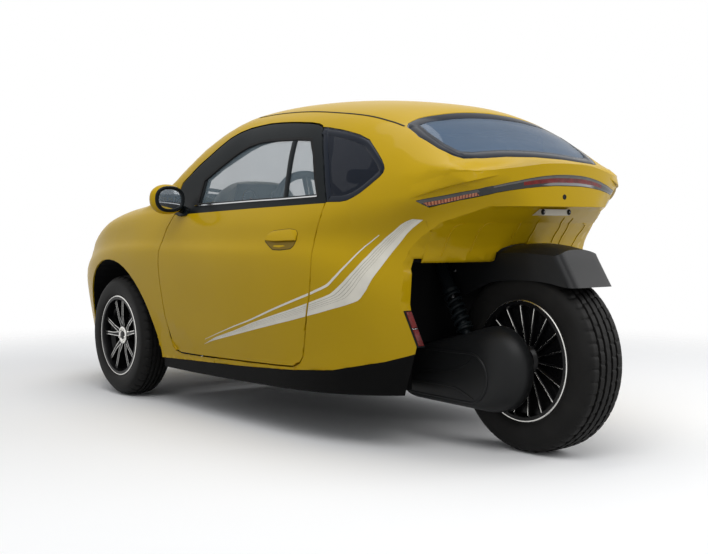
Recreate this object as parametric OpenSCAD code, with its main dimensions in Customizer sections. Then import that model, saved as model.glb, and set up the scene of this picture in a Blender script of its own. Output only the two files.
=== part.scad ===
// Electric reverse trike: two steered front wheels, one driven rear wheel, two-door closed cabin.
// +X points forward, +Y to the left, +Z up. The origin is on the ground under the middle of the length.

/* [Layout] */
// Distance from rear axle to front axle
wheelbase = 1995; // [1950:5:2050]
// Distance between the two front tyre centres
front_track = 1034; // [1014:2:1054]
// From front axle to the tip of the nose
front_overhang = 695; // [660:5:730]
// Greatest half width of the body side
body_half_w = 636; // [626:1:650]
// Height of the roof crown
body_h = 1238; // [1220:2:1260]

/* [Front wheels] */
// Outer radius of a front tyre
front_tyre_r = 267; // [262:1:272]
// Width of a front tyre
front_tyre_w = 150; // [140:1:160]
// Radius of a front rim flange
front_rim_r = 180; // [174:1:184]
// Radius of a front brake disc
disc_r = 118; // [105:1:124]
// Radius of a front stub axle
stub_r = 15; // [12:0.5:18]
// Distance of each steering axis from the middle plane
kingpin_y = 405; // [398:1:408]
// Radius of the steering pivot pins
kingpin_r = 10; // [8:0.5:12]
// Radius of a strut tube
strut_r = 20; // [16:0.5:22]
// Outer radius of a strut tower
tower_r = 62; // [58:1:66]
// Length of the steering arm behind the axle
steer_arm = 112; // [95:1:125]

/* [Rear wheel] */
// Outer radius of the rear tyre
rear_tyre_r = 308; // [302:1:314]
// Width of the rear tyre
rear_tyre_w = 185; // [175:1:195]
// Radius of the rear rim flange
rear_rim_r = 206; // [200:1:212]
// Radius of the rear axle
axle_r = 14; // [12:0.5:18]
// Radius of the drive drum beside the rear wheel
drum_r = 144; // [136:1:150]
// Radius of the swing arm pivot tube
pivot_r = 28; // [22:1:34]
// Distance of each shock from the middle plane
shock_y = 152; // [146:1:160]
// Half width of the rear mudguard
guard_half_w = 104; // [100:1:108]

/* [Walls] */
// Thickness of the painted outer skins
skin_t = 6; // [5:0.5:8]
// Thickness of the cabin walls and doors
wall_t = 40; // [34:1:44]
// Thickness of the glass
glass_t = 5; // [4:0.5:7]
// Gap along the edge of a door or lid
shut_gap = 6; // [5.5:0.5:8]
// Gap between pieces that are fixed together
seat_gap = 0.3; // [0.2:0.1:0.5]
// Running clearance on a pin
run_gap = 0.05; // [0.03:0.01:0.08]

// Thickness of the linings around the wheels
lining_t = 14; // [10:1:18]
// Thickness of the floor
floor_t = 30; // [24:1:36]
// Depth of the tail lamp
lamp_t = 14; // [12:1:18]

/* [Doors] */
// Hinge line ahead of the rear axle
hinge_x = 1430; // [1420:1:1440]
// Hinge line from the middle plane
hinge_y = 607; // [604:1:608]
// Radius of a hinge pin
hinge_r = 5; // [4.5:0.5:6]

/* [Cabin] */
// Radius of the steering wheel to the middle of its rim
wheel_ring_r = 172; // [160:1:182]
// Half thickness of the steering wheel rim
wheel_ring_t = 14; // [11:0.5:17]
// Distance of each seat from the middle plane
seat_y = 256; // [250:1:262]
// Width of a seat
seat_w = 405; // [380:5:415]
// Length of the battery pack
battery_l = 640; // [560:10:680]
// Width of the battery pack
battery_w = 800; // [700:10:860]
// Height of the battery pack
battery_h = 120; // [90:5:130]

/* [Number plate] */
// Distance between the two plate screws
plate_pitch = 112; // [96:4:140]
// Radius of a plate screw hole
plate_hole_r = 3; // [2:0.5:4]

/* [Hidden] */
$fn = 48;
overall = front_overhang + wheelbase + rear_tyre_r;
rear_x = rear_tyre_r - overall / 2;
front_x = rear_x + wheelbase;
kx = wheelbase / 1995;
ky = body_half_w / 636;
kz = body_h / 1238;
battery_z = bz(178.8) + floor_t + seat_gap;
seat_z = battery_z + battery_h + seat_gap;
front_wheel_y = front_track / 2;
front_rim_w = front_tyre_w - 14;
arch_gap = 74;
rear_rim_w = rear_tyre_w - 20;
paint = "#D9A21B";
black = "#1A1B1D";
glassy = "#3C4A55";
metal = "#9A9DA0";
rubber = "#202124";
trim = "#B8AD98";

// Body sections: x ahead of the rear axle, then half width and height of sill, waist, flank, belt and
// roof rail, then the height of the middle line.
BODY = [
  [-170, 300, 228, 260, 500, 150, 775, 230, 885, 312, 934, 958],
  [-60, 312, 222, 312, 500, 240, 775, 314, 885, 346, 948, 966],
  [20, 328, 214, 350, 498, 316, 772, 406, 880, 374, 960, 988],
  [100, 354, 205, 392, 498, 382, 752, 477, 858, 370, 1006, 1046],
  [200, 396, 196, 455, 512, 440, 702, 507, 847, 372, 1062, 1118],
  [300, 454, 189, 530, 545, 510, 704, 532, 844, 374, 1098, 1172],
  [450, 518, 183, 588, 575, 573, 710, 556, 841, 388, 1133, 1204],
  [650, 552, 178, 616, 586, 604, 713, 571, 837, 400, 1154, 1228],
  [850, 560, 174, 629, 588, 614, 712, 579, 834, 406, 1166, 1238],
  [1050, 562, 170, 635, 588, 619, 711, 583, 831, 416, 1166, 1234],
  [1200, 562, 168, 636, 588, 620, 710, 585, 829, 432, 1150, 1210],
  [1350, 562, 166, 636, 588, 620, 709, 585, 827, 455, 1094, 1150],
  [1450, 562, 166, 636, 588, 620, 708, 585, 825, 474, 1032, 1092],
  [1550, 562, 166, 635, 588, 619, 707, 585, 823, 494, 956, 1028],
  [1650, 561, 166, 634, 587, 618, 706, 583, 820, 500, 888, 962],
  [1750, 559, 167, 632, 585, 615, 703, 579, 815, 478, 860, 908],
  [1840, 556, 168, 628, 582, 610, 699, 573, 809, 440, 854, 880],
  [1995, 547, 172, 619, 572, 600, 690, 561, 797, 400, 843, 862],
  [2150, 534, 178, 602, 555, 583, 671, 544, 774, 370, 822, 842],
  [2300, 514, 186, 574, 530, 552, 642, 512, 735, 345, 792, 811],
  [2430, 484, 196, 534, 505, 512, 610, 472, 690, 320, 754, 772],
  [2540, 439, 208, 482, 480, 460, 572, 420, 640, 285, 705, 722],
  [2620, 372, 228, 420, 465, 398, 536, 362, 600, 240, 648, 665],
  [2668, 266, 262, 309, 455, 300, 502, 276, 545, 170, 589, 602],
  [2690, 92, 360, 112, 445, 109, 471, 102, 495, 62, 515, 520]
];
// Heights of the door hinges
HINGES = [535, 655];
// Side view outlines, x ahead of the rear axle and height
DOOR = [
  [1447, 241], [1481, 250], [1504, 282], [1513, 340], [1514, 430], [1512, 520], [1507, 590], [1500, 650],
  [1490, 705], [1476, 742], [1456, 772], [1440, 800], [1444, 850], [1446, 900], [1437, 927], [1393, 957],
  [1339, 997], [1284, 1031], [1232, 1064], [1185, 1092], [1135, 1112], [1082, 1125], [1022, 1131], [961, 1135],
  [896, 1134], [832, 1131], [767, 1126], [704, 1120], [652, 1112], [628, 1104], [588, 1058], [528, 967], [488, 896],
  [452, 838], [458, 791], [474, 748], [485, 712], [485, 675], [483, 630], [487, 588], [501, 526], [527, 457],
  [554, 392], [575, 341], [591, 304], [614, 279], [652, 263], [762, 258], [1017, 251], [1279, 244]
];
FRAME = [
  [1540, 798], [1540, 1300], [300, 1300], [300, 838], [475, 833], [882, 820], [1336, 804]
];
WINDOW = [
  [1284, 838], [1275, 936], [1238, 955], [1181, 986], [1128, 1015], [1076, 1042], [1023, 1061], [964, 1071],
  [902, 1074], [838, 1073], [715, 1069], [648, 1063], [597, 1005], [542, 915], [502, 858], [710, 851], [899, 847],
  [1107, 841]
];
QUARTER = [
  [520, 837], [380, 837], [351, 841], [325, 852], [301, 865], [268, 890], [237, 916], [227, 930], [227, 942],
  [235, 954], [253, 972], [282, 995], [323, 1026], [352, 1045], [403, 1063], [459, 1077], [516, 1088], [574, 1098],
  [660, 1108], [660, 1080]
];
LOW = [
  [-400, 0], [-400, 352], [120, 352], [150, 343], [180, 332], [256, 308], [456, 265], [656, 248], [979, 230],
  [1365, 215], [1654, 202], [1800, 190], [1800, 0]
];
// Hollow under the tail: x, height, move forward and up per mm of depth, share of the side sweep
TAIL_CUT = [
  [-400, -50, 0, 0, 0], [-400, 820, 0, 1, 0], [-80, 820, 0.3, 1, 1], [-47, 800, 0.5, 0.8, 1], [10, 767, 0.7, 0.7, 1],
  [54, 722, 0.9, 0.5, 1], [78, 687, 1, 0.3, 1], [90, 643, 1, 0, 1], [180, 600, 1, 0, 0], [188, 500, 1, 0, 0],
  [150, 352, 1, 0, 0], [138, 340, 1, 0, 0], [150, 285, 1, 0, 0], [166, 240, 1, 0, 0], [166, -50, 1, 0, 0]
];
// Side view outline of the tail lamp
LAMP_BAND = [
  [-200, 936], [-134, 923], [-120, 912], [-104, 900], [-76, 884], [-49, 875], [-5, 864], [39, 852],
  [96, 837], [81, 815], [56, 824], [11, 838], [-36, 850], [-80, 862], [-107, 874], [-133, 886], [-200, 890]
];
// Top view outlines of the left half
SCREEN = [
  [1150, 0], [1147, 200], [1138, 350], [1240, 394], [1350, 430], [1446, 456], [1540, 476], [1600, 470],
  [1700, 392], [1770, 220], [1796, 0]
];
REAR_LIGHT = [
  [262, 0], [262, 215], [270, 298], [268, 345], [250, 366], [178, 376], [97, 364], [52, 342], [26, 318], [14, 255],
  [18, 120], [18, 0]
];
// Rear mudguard: x, then the heights of its shoulder and its crown
GUARD = [
  [-250, 640, 657], [-190, 657, 676], [-150, 662, 684], [-90, 666, 695], [-25, 668, 700], [40, 667, 696],
  [110, 662, 689], [180, 652, 674], [250, 640, 658], [330, 625, 641], [420, 600, 616]
];
// Lower edge and slanted rear end of the mudguard in side view
GUARD_SIDE = [
  [344.7, 800], [344.7, 484], [286, 505], [185, 542], [108, 568], [-13, 578], [-121, 575], [-195, 564], [-246, 558],
  [-183, 655], [-150, 800]
];
BONNET = [
  [1862, 0], [1852, 250], [1812, 420], [1900, 446], [2150, 420], [2400, 350], [2500, 280], [2545, 150], [2552, 0]
];

function bx(x) = rear_x + x * kx;
function at_nose(x) = rear_x + x * (x > 1995 ? 1 : kx) + (x > 1995 ? (wheelbase - 1995) : 0);
function by(y) = y * ky;
function bz(z) = z * kz;

function seg(t, x, i = 0) = (i >= len(t) - 2 || x < t[i + 1][0]) ? i : seg(t, x, i + 1);
function slope(t, i, c) =
  let (a = max(i - 1, 0), b = min(i + 1, len(t) - 1)) (t[b][c] - t[a][c]) / (t[b][0] - t[a][0]);
function bend(u, p, q, m, n) =
  (2 * u * u * u - 3 * u * u + 1) * p + (u * u * u - 2 * u * u + u) * m
  + (3 * u * u - 2 * u * u * u) * q + (u * u * u - u * u) * n;
function along(x, c) =
  let (i = seg(BODY, x), h = BODY[i + 1][0] - BODY[i][0], u = (x - BODY[i][0]) / h)
  bend(u, BODY[i][c], BODY[i + 1][c], slope(BODY, i, c) * h, slope(BODY, i + 1, c) * h);
// Control points of one section drawn in by d
function knots(x, d) = [
  [by(along(x, 1)) - d, bz(along(x, 2)) + d],
  [by(along(x, 3)) - d, bz(along(x, 4))],
  [by(along(x, 5)) - d, bz(along(x, 6))],
  [by(along(x, 7)) - d, bz(along(x, 8)) - 0.3 * d],
  [by(along(x, 9)) - 0.62 * d, bz(along(x, 10)) - 0.82 * d],
  [0, bz(along(x, 11)) - d]
];
function turn(k, i) =
  i == 0 ? k[1] - k[0] : i == 5 ? [-k[4][0], 0] : (k[i + 1] - k[i - 1]) / 2;
function rib(k, n) = [
  for (i = [0:4]) for (j = [0:n - 1])
    let (u = j / n, a = turn(k, i), b = turn(k, i + 1))
    [bend(u, k[i][0], k[i + 1][0], a[0], b[0]), bend(u, k[i][1], k[i + 1][1], a[1], b[1])]
];
function ring(x, d, n) =
  let (k = knots(x, d), r = rib(k, n), m = len(r))
  concat(
    [for (p = r) [at_nose(x), p[0], p[1]]],
    [[at_nose(x), 0, k[5][1]]],
    [for (i = [m - 1:-1:0]) [at_nose(x), -r[i][0], r[i][1]]]
  );

// The whole outer form, drawn in by d
module loft(d = 0, n = 3, steps = 2) {
  first = BODY[0][0];
  last = BODY[len(BODY) - 1][0] - d;
  xs = concat(
    [for (i = [0:len(BODY) - 2]) for (s = [0:steps - 1])
      let (x = BODY[i][0] + (BODY[i + 1][0] - BODY[i][0]) * s / steps) if (x < last - 4) x],
    [last]
  );
  rings = [for (x = xs) ring(x, d, n)];
  m = len(rings[0]);
  points = [for (r = rings) for (p = r) p];
  walls = [for (i = [0:len(xs) - 2]) for (j = [0:m - 1])
    let (a = i * m + j, b = i * m + (j + 1) % m, c = a + m, e = b + m) each [[a, c, b], [b, c, e]]];
  ends = [[for (j = [0:m - 1]) j], [for (j = [m - 1:-1:0]) (len(xs) - 1) * m + j]];
  polyhedron(points, concat(walls, ends), convexity = 8);
}

// Keeps a trimmed skin as one mesh of flat facets
module skin() {
  resize([0, 0, 0]) children();
}

function put(outline) = [for (p = outline) [bx(p[0]), bz(p[1])]];
function put_top(half) = concat(
  [for (p = half) [at_nose(p[0]), by(p[1])]],
  [for (i = [len(half) - 1:-1:0]) if (half[i][1] > 0) [at_nose(half[i][0]), -by(half[i][1])]]
);

// A side view outline pushed through from y0 to y1
module across(y0, y1) {
  translate([0, y1, 0]) rotate([90, 0, 0]) linear_extrude(y1 - y0) children();
}
module side_outline(outline, grow = 0) {
  offset(delta = grow) polygon(put(outline));
}
module top_outline(half, grow, z0, z1) {
  translate([0, 0, z0]) linear_extrude(z1 - z0) offset(delta = grow) polygon(put_top(half));
}
module on_side(side, outline, grow = 0) {
  across(side > 0 ? 370 : -900, side > 0 ? 900 : -370) side_outline(outline, grow);
}

// The rounded tail seen from above
module bow_cut(d = 0) {
  a = 465 * kx;
  b = by(562) - d;
  c = bx(330);
  n = 2.05;
  curve = [for (s = [-90:6:90])
    [c - (a - d) * pow(max(cos(s), 0), 2 / n), b * sign(s) * pow(abs(sin(s)), 2 / n)]];
  translate([0, 0, -100])
    linear_extrude(1600)
      polygon(concat([[c + 3000, -900], [c, -900]], curve, [[c, 900], [c + 3000, 900]]));
}
// Hollow under the tail, swept forward towards both sides
module tail_cut(d = 0) {
  ys = [for (y = [-600:75:600]) y];
  m = len(TAIL_CUT);
  points = [for (y = ys) for (p = TAIL_CUT)
    [bx(p[0]) + p[2] * d + p[4] * 85 * pow(y / 410, 2), by(y), bz(p[1]) + p[3] * d]];
  walls = [for (i = [0:len(ys) - 2]) for (j = [0:m - 1])
    let (a = i * m + j, b = i * m + (j + 1) % m, c = a + m, e = b + m) each [[a, c, b], [b, c, e]]];
  ends = [[for (j = [0:m - 1]) j], [for (j = [m - 1:-1:0]) (len(ys) - 1) * m + j]];
  polyhedron(points, concat(walls, ends), convexity = 6);
}
// Room for the rear wheel, arm and shocks
module rear_room(d = 0) {
  back = bx(-600);
  slab(back, bx(345) + d, -by(390) - d, by(390) + d, -60, bz(636) + d);
  intersection() {
    guard_form(-4 - d);
    slab(bx(40) - d, bx(345) + d, -900, 900, -60, 900);
  }
  slab(back, bx(540) + d, -262 - d, 262 + d, -60, bz(352) + d);
}
// Room for a steered front wheel
module front_room(d = 0) {
  a = 398 + d;
  h = 2 * front_tyre_r + arch_gap - bz(168) + d;
  n = 2.15;
  curve = [for (s = [0:7.5:180])
    [front_x + 14 + a * sign(cos(s)) * pow(abs(cos(s)), 2 / n), bz(168) + h * pow(max(sin(s), 0), 2 / n)]];
  for (side = [-1, 1])
    across(side > 0 ? 290 - d : -900, side > 0 ? 900 : -290 + d)
      polygon(concat(curve, [[front_x + 14 - a, -60], [front_x + 14 + a, -60]]));
}
module core(d = 0) {
  difference() {
    intersection() {
      loft(d, d > 12 ? 2 : 3, d > 12 ? 1 : 2);
      bow_cut(d);
    }
    tail_cut(d);
  }
}
module form(d = 0) {
  difference() {
    core(d);
    rear_room();
    front_room();
  }
}
// The form as a wall of thickness t whose outer face is drawn in by d
module wall(t, d = 0) {
  difference() {
    form(d);
    core(d + t);
  }
}
module slab(x0, x1, y0, y1, z0, z1) {
  translate([x0, y0, z0]) cube([x1 - x0, y1 - y0, z1 - z0]);
}
module low_mask() {
  across(-900, 900) side_outline(LOW);
}
module door_mask(side, grow = 0) {
  on_side(side, DOOR, grow);
}
module lamp_mask(grow = 0) {
  for (side = [-1, 1])
    translate([at_nose(2380), 0, 0])
      rotate([90, 0, 90])
        linear_extrude(500)
          offset(delta = grow)
            polygon([[side * by(318), bz(610)], [side * by(330), bz(668)], [side * by(470), bz(700)],
              [side * by(540), bz(690)], [side * by(540), bz(640)], [side * by(440), bz(606)]]);
}
module nose_mask() {
  slab(at_nose(2330), at_nose(2900), -900, 900, -60, 1400);
}
module grille_mask(grow = 0) {
  translate([at_nose(2500), 0, 0])
    rotate([90, 0, 90])
      linear_extrude(500)
        offset(delta = grow)
          polygon([[-by(330), bz(300)], [-by(290), bz(385)], [by(290), bz(385)], [by(330), bz(300)],
            [by(250), bz(262)], [-by(250), bz(262)]]);
}
module roof_mask(grow = 0) {
  slab(bx(250) - grow, bx(1170) + grow, -by(368) - grow, by(368) + grow, bz(1000), 1500);
}
// Where the cabin sides take over from the front wings
module pillar_mask() {
  slab(bx(1000), bx(1640), -900, 900, bz(838), 1500);
  slab(bx(-600), bx(1180), -900, 900, -60, 1500);
}
module half(side) {
  slab(-3000, 3000, side > 0 ? 0 : -900, side > 0 ? 900 : 0, -100, 1600);
}
module tail_mask() {
  slab(bx(-600), bx(112), -900, 900, bz(600), 1500);
  slab(bx(100), bx(186), -by(374), by(374), bz(600), bz(800));
}

// Node to draw

// Floor, black sills and the underside
module floor_pan() {
  color(black) skin() difference() {
    intersection() {
      wall(floor_t);
      low_mask();
    }
    rear_room(lining_t + seat_gap);
    front_room(lining_t + seat_gap);
    door_mask(1, shut_gap);
    door_mask(-1, shut_gap);
    slab(at_nose(1780), 3000, -900, 900, -60, 1400);
  }
}
// Outside of the lining around the rear wheel
module well_block() {
  slab(bx(20), bx(345) + lining_t, -900, 900, -60, bz(636) + lining_t);
}
// Lining of the space around the rear wheel
module rear_well() {
  color(black) skin() difference() {
    union() {
      intersection() {
        core(wall_t + seat_gap);
        well_block();
      }
      intersection() {
        core(0.5);
        rear_room(lining_t);
        slab(bx(190), bx(700), -300, 300, -60, bz(760));
      }
    }
    rear_room();
    tail_cut(skin_t + seat_gap);
  }
}
// Lining of the front wheel arches
module front_liners() {
  color(black) skin() difference() {
    intersection() {
      core(skin_t + seat_gap);
      front_room(lining_t);
      slab(-3000, 3000, -900, 900, bz(224), 1400);
    }
    front_room();
    for (side = [-1, 1])
      translate([front_x, side * kingpin_y, 300]) cylinder(r = tower_r + seat_gap, h = 600);
  }
}
module side_panel(side) {
  color(paint) skin() difference() {
    intersection() {
      wall(wall_t);
      pillar_mask();
      half(side);
    }
    door_mask(side, shut_gap);
    on_side(side, QUARTER, seat_gap);
    top_outline(SCREEN, seat_gap, bz(838), 1500);
    top_outline(REAR_LIGHT, seat_gap, bz(900), 1500);
    roof_mask(seat_gap);
    low_mask();
    rear_room(lining_t + seat_gap);
    tail_mask();
    slab(bx(60), bx(360), -by(374), by(374), 0, bz(760));
  }
}
module side_left() {
  side_panel(1);
}
module side_right() {
  side_panel(-1);
}
module roof_panel() {
  color(paint) skin() difference() {
    intersection() {
      wall(22);
      roof_mask();
    }
    top_outline(SCREEN, seat_gap, bz(838), 1500);
    top_outline(REAR_LIGHT, seat_gap, bz(900), 1500);
  }
}
module tail_panel() {
  color(paint) skin() difference() {
    intersection() {
      union() {
        wall(skin_t);
        intersection() {
          wall(lamp_t + 10);
          across(-900, 900) side_outline(LAMP_BAND, skin_t);
        }
      }
      tail_mask();
    }
    top_outline(REAR_LIGHT, seat_gap, bz(900), 1500);
    intersection() {
      wall(lamp_t + 3 + seat_gap, -1);
      across(-900, 900) side_outline(LAMP_BAND, seat_gap);
    }
    rear_room(seat_gap);
    plate_holes(plate_hole_r + 0.5, $fn = 24);
  }
}
module tail_lamp() {
  color("#8E1B12") skin() intersection() {
    wall(lamp_t, 2);
    across(-900, 900) side_outline(LAMP_BAND);
    slab(bx(-600), bx(112) - seat_gap, -900, 900, 0, 1500);
  }
}
module wing(side) {
  color(paint) skin() difference() {
    intersection() {
      wall(skin_t);
      half(side);
      slab(bx(1180), at_nose(2330), -900, 900, -60, 1400);
    }
    pillar_mask();
    door_mask(side, shut_gap);
    top_outline(SCREEN, seat_gap, bz(838), 1500);
    top_outline(BONNET, seat_gap, bz(600), 1500);
    scuttle_mask(seat_gap);
    low_mask();
    slab(-3000, 3000, -290, 290, -60, bz(640));
    slab(-3000, at_nose(1700), -by(520), by(520), -60, 1500);
  }
}
module wing_left() {
  wing(1);
}
module wing_right() {
  wing(-1);
}
module scuttle_mask(grow = 0) {
  slab(bx(1600) - grow, at_nose(1880) + grow, -by(470) - grow, by(470) + grow, bz(838), 1500);
}
module scuttle() {
  color(black) skin() difference() {
    intersection() {
      wall(skin_t);
      scuttle_mask();
    }
    top_outline(SCREEN, seat_gap, bz(838), 1500);
    top_outline(BONNET, seat_gap, bz(600), 1500);
    pillar_mask();
  }
}
module bonnet() {
  color(paint) skin() intersection() {
    wall(skin_t);
    top_outline(BONNET, 0, bz(600), 1500);
  }
}
module front_bumper() {
  color(paint) skin() difference() {
    intersection() {
      wall(skin_t);
      nose_mask();
    }
    top_outline(BONNET, seat_gap, bz(600), 1500);
    lamp_mask(seat_gap);
    grille_mask(seat_gap);
    slab(-3000, at_nose(2480), -900, 900, -60, bz(212));
  }
}
module grille() {
  color(black) skin() intersection() {
    wall(skin_t + 8, 4);
    grille_mask();
  }
}
module headlamps() {
  color("#C9CED2") skin() difference() {
    intersection() {
      wall(skin_t + 20, 0.5);
      lamp_mask();
    }
    top_outline(BONNET, seat_gap, bz(600), 1500);
  }
}
module windscreen() {
  color(glassy) skin() intersection() {
    wall(glass_t, 2);
    top_outline(SCREEN, 0, bz(838), 1500);
  }
}
module rear_glass() {
  color(glassy) skin() intersection() {
    wall(glass_t, 2);
    top_outline(REAR_LIGHT, 0, bz(900), 1500);
  }
}
module quarter_glass() {
  color(glassy) skin() difference() {
    intersection() {
      wall(glass_t, 2);
      union() {
        on_side(1, QUARTER);
        on_side(-1, QUARTER);
      }
    }
    door_mask(1, shut_gap + seat_gap);
    door_mask(-1, shut_gap + seat_gap);
  }
}
module reflectors() {
  color("#A3160F") for (side = [-1, 1])
    multmatrix([[1, 0, 0.257, 0], [0, 1, side * 0.274, 0], [0, 0, 1, 0], [0, 0, 0, 1]])
      slab(bx(188) - 0.257 * bz(500) - 6, bx(188) - 0.257 * bz(500) - seat_gap,
        side * (by(423) - 0.274 * bz(482)) - 15, side * (by(423) - 0.274 * bz(482)) + 15, bz(360), bz(482));
}
module plate_bracket() {
  color("#C8C2B4") difference() {
    across(-plate_pitch / 2 - 11, plate_pitch / 2 + 11)
      polygon(put([[-78, 792], [-78, 812], [-67.4, 812], [-47.6, 799.6], [-34, 792]]));
    plate_holes(plate_hole_r);
  }
}
module plate_holes(r) {
  for (side = [-1, 1])
    translate([bx(-80), side * plate_pitch / 2, bz(803)]) rotate([0, 90, 0]) cylinder(r = r, h = 40);
}
module door(side) {
  color(paint) skin() difference() {
    intersection() {
      wall(wall_t);
      door_mask(side);
    }
    on_side(side, FRAME);
    for (z = HINGES)
      slab(bx(hinge_x) - 18, bx(1560), side > 0 ? by(500) : -by(hinge_y) - hinge_r - 5,
        side > 0 ? by(hinge_y) + hinge_r + 5 : -by(500), bz(z) - 30, bz(z) + 30);
  }
}
module door_left() {
  door(1);
}
module door_right() {
  door(-1);
}
module door_frame(side) {
  color(black) skin() difference() {
    intersection() {
      wall(wall_t - 8, 0.5);
      door_mask(side);
      on_side(side, FRAME, -seat_gap);
    }
    on_side(side, WINDOW, seat_gap);
  }
}
module door_frame_left() {
  door_frame(1);
}
module door_frame_right() {
  door_frame(-1);
}
module door_glass(side) {
  color(glassy) skin() intersection() {
    wall(glass_t, 6);
    on_side(side, WINDOW);
  }
}
module door_glass_left() {
  door_glass(1);
}
module door_glass_right() {
  door_glass(-1);
}
module mirror(side) {
  color(paint) translate([bx(1360), side * by(672), bz(862)]) difference() {
    union() {
      scale([0.72, 1.17, 0.94]) sphere(r = 64);
      translate([24, side * -40, -36]) rotate([side * 68, 0, 0]) cylinder(r = 16, h = 62);
    }
    slab(-100, -27, -200, 200, -200, 200);
    translate([0, side * (by(584.9) - by(672)), bz(826.5) - bz(862)])
      rotate([side * 15.6, 0, 0]) slab(-200, 200, side > 0 ? -200 : 0, side > 0 ? 0 : 200, -200, 200);
  }
}
module mirror_left() {
  mirror(1);
}
module mirror_right() {
  mirror(-1);
}
module hinge_pins(side) {
  color(metal) for (z = HINGES)
    translate([bx(hinge_x), side * by(hinge_y), bz(z) - 30 + seat_gap]) cylinder(r = hinge_r, h = 60 - 2 * seat_gap);
}
module hinge_pins_left() {
  hinge_pins(1);
}
module hinge_pins_right() {
  hinge_pins(-1);
}
// Posts that carry the door hinges, standing on the floor
module hinge_posts() {
  color(black) for (side = [-1, 1]) {
    slab(bx(1470), bx(1470) + 50, side > 0 ? by(462) : -by(496), side > 0 ? by(496) : -by(462),
      bz(166) + floor_t + seat_gap, bz(780));
    for (z = HINGES)
      difference() {
        translate([0, 0, bz(z) - 14]) linear_extrude(28) difference() {
          union() {
            translate([bx(hinge_x), side * by(hinge_y)]) circle(r = hinge_r + 3.6);
            polygon([[bx(hinge_x) - 7, side * (by(hinge_y) - 4)], [bx(hinge_x) + 7, side * (by(hinge_y) - 4)],
              [bx(hinge_x) + 9, side * by(508)], [bx(1470) + 50, side * by(508)],
              [bx(1470) + 50, side * by(490)], [bx(hinge_x) - 7, side * by(490)]]);
          }
          translate([bx(hinge_x), side * by(hinge_y)]) circle(r = hinge_r + run_gap);
        }
      }
  }
}
module on_column() {
  translate([bx(940), by(seat_y), bz(796)]) rotate([0, 110, 0]) children();
}
module dashboard() {
  color(trim) difference() {
    union() {
      across(-by(462) + seat_gap, by(462) - seat_gap)
        polygon(put([[1600, 822], [1420, 832], [1310, 806], [1296, 750], [1350, 650], [1560, 600], [1620, 620]]));
      on_column() translate([0, 0, 280 * kx]) cylinder(r = 34, h = 200 * kx);
    }
    on_column() translate([0, 0, 200 * kx]) cylinder(r = 18 + run_gap, h = 240 * kx);
  }
}
module steering_wheel() {
  color(rubber) on_column() {
    rotate_extrude() translate([wheel_ring_r, 0]) circle(r = wheel_ring_t);
    cylinder(r = 52, h = 40, center = true);
    for (a = [0, 120, 240])
      rotate([0, 0, a + 60]) translate([0, -16, -7]) cube([wheel_ring_r, 32, 14]);
    cylinder(r = 18, h = 400 * kx);
  }
}
module seats() {
  profile = [[640, 0], [1130, 0], [1150, 55], [1130, 105], [760, 75], [640, 495], [600, 625], [540, 645],
    [512, 595], [560, 365], [600, 95]];
  color("#3A3A3C") for (side = [-1, 1])
    across(by(side * seat_y - seat_w / 2), by(side * seat_y + seat_w / 2))
      polygon([for (p = profile) [bx(p[0]), seat_z + p[1]]]);
}
module battery_pack() {
  color("#4A4E52") slab(bx(620), bx(620) + battery_l, -battery_w / 2, battery_w / 2, battery_z, battery_z + battery_h);
}
// Cross member with the two lower arms and their ball pins, and the strut towers above
module front_subframe() {
  color(black) {
    for (side = [-1, 1])
      translate([front_x, side * kingpin_y, 0]) difference() {
        translate([0, 0, bz(596)]) cylinder(r = tower_r, h = 130);
        translate([0, 0, bz(590)]) cylinder(r = tower_r - 6, h = 128);
        translate([0, 0, bz(590)]) cylinder(r = kingpin_r + run_gap, h = 400);
      }
    slab(front_x - 45, front_x + 45, -270, 270, 150, 200);
    for (side = [-1, 1]) {
      across(side > 0 ? 200 : -kingpin_y - 30, side > 0 ? kingpin_y + 30 : -200)
        polygon([[front_x - 28, 142], [front_x + 28, 142], [front_x + 28, 164], [front_x - 28, 164]]);
      translate([front_x, side * kingpin_y, 142]) cylinder(r = kingpin_r, h = 60);
    }
  }
}
module knuckle(side) {
  color(metal) translate([front_x, side * kingpin_y, 0]) {
    difference() {
      union() {
        translate([0, 0, 166]) cylinder(r = 24, h = 200);
        translate([0, 0, 320]) cylinder(r = strut_r, h = bz(596) - 320);
        translate([0, 0, bz(560)]) cylinder(r = kingpin_r, h = 160);
        translate([0, side * 22, front_tyre_r]) rotate([side * -90, 0, 0]) cylinder(r = 38, h = 12, center = true);
        translate([0, 0, front_tyre_r]) rotate([side * -90, 0, 0])
          cylinder(r = stub_r, h = front_wheel_y - kingpin_y + 32);
        translate([0, 0, 196]) linear_extrude(20)
          polygon([[4, side * -20], [4, side * 10], [-steer_arm - 12, side * -28], [-steer_arm - 12, side * -52]]);
      }
      translate([0, 0, 100]) cylinder(r = kingpin_r + run_gap, h = 105);
    }
    translate([0, 0, bz(600)]) cylinder(r = 48, h = 10);
  }
}
module knuckle_left() {
  knuckle(1);
}
module knuckle_right() {
  knuckle(-1);
}
module tie_rods() {
  color(metal)
    translate([front_x - steer_arm, -kingpin_y + 32, 186.5])
      rotate([-90, 0, 0]) cylinder(r = 9, h = 2 * kingpin_y - 64);
}
function rim_half(f, w) = [
  [f - 18, w / 2], [f, w / 2], [f, w / 2 - 8], [f - 12, w / 2 - 8], [f - 12, w / 2 - 36], [f - 32, w / 2 - 48]
];
function rim_inner(f, w) = [
  [f - 40, w / 2 - 52], [f - 22, w / 2 - 38], [f - 22, w / 2 - 8]
];
function mirrored(p) = [for (i = [len(p) - 1:-1:0]) [p[i][0], -p[i][1]]];
function turned(p) = [for (i = [len(p) - 1:-1:0]) p[i]];
module rim_barrel(f, w) {
  outer = rim_half(f, w);
  inner = rim_inner(f, w);
  rotate_extrude($fn = 96)
    polygon(concat(outer, mirrored(outer), [for (p = turned(inner)) [p[0], -p[1]]], inner));
}
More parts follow.
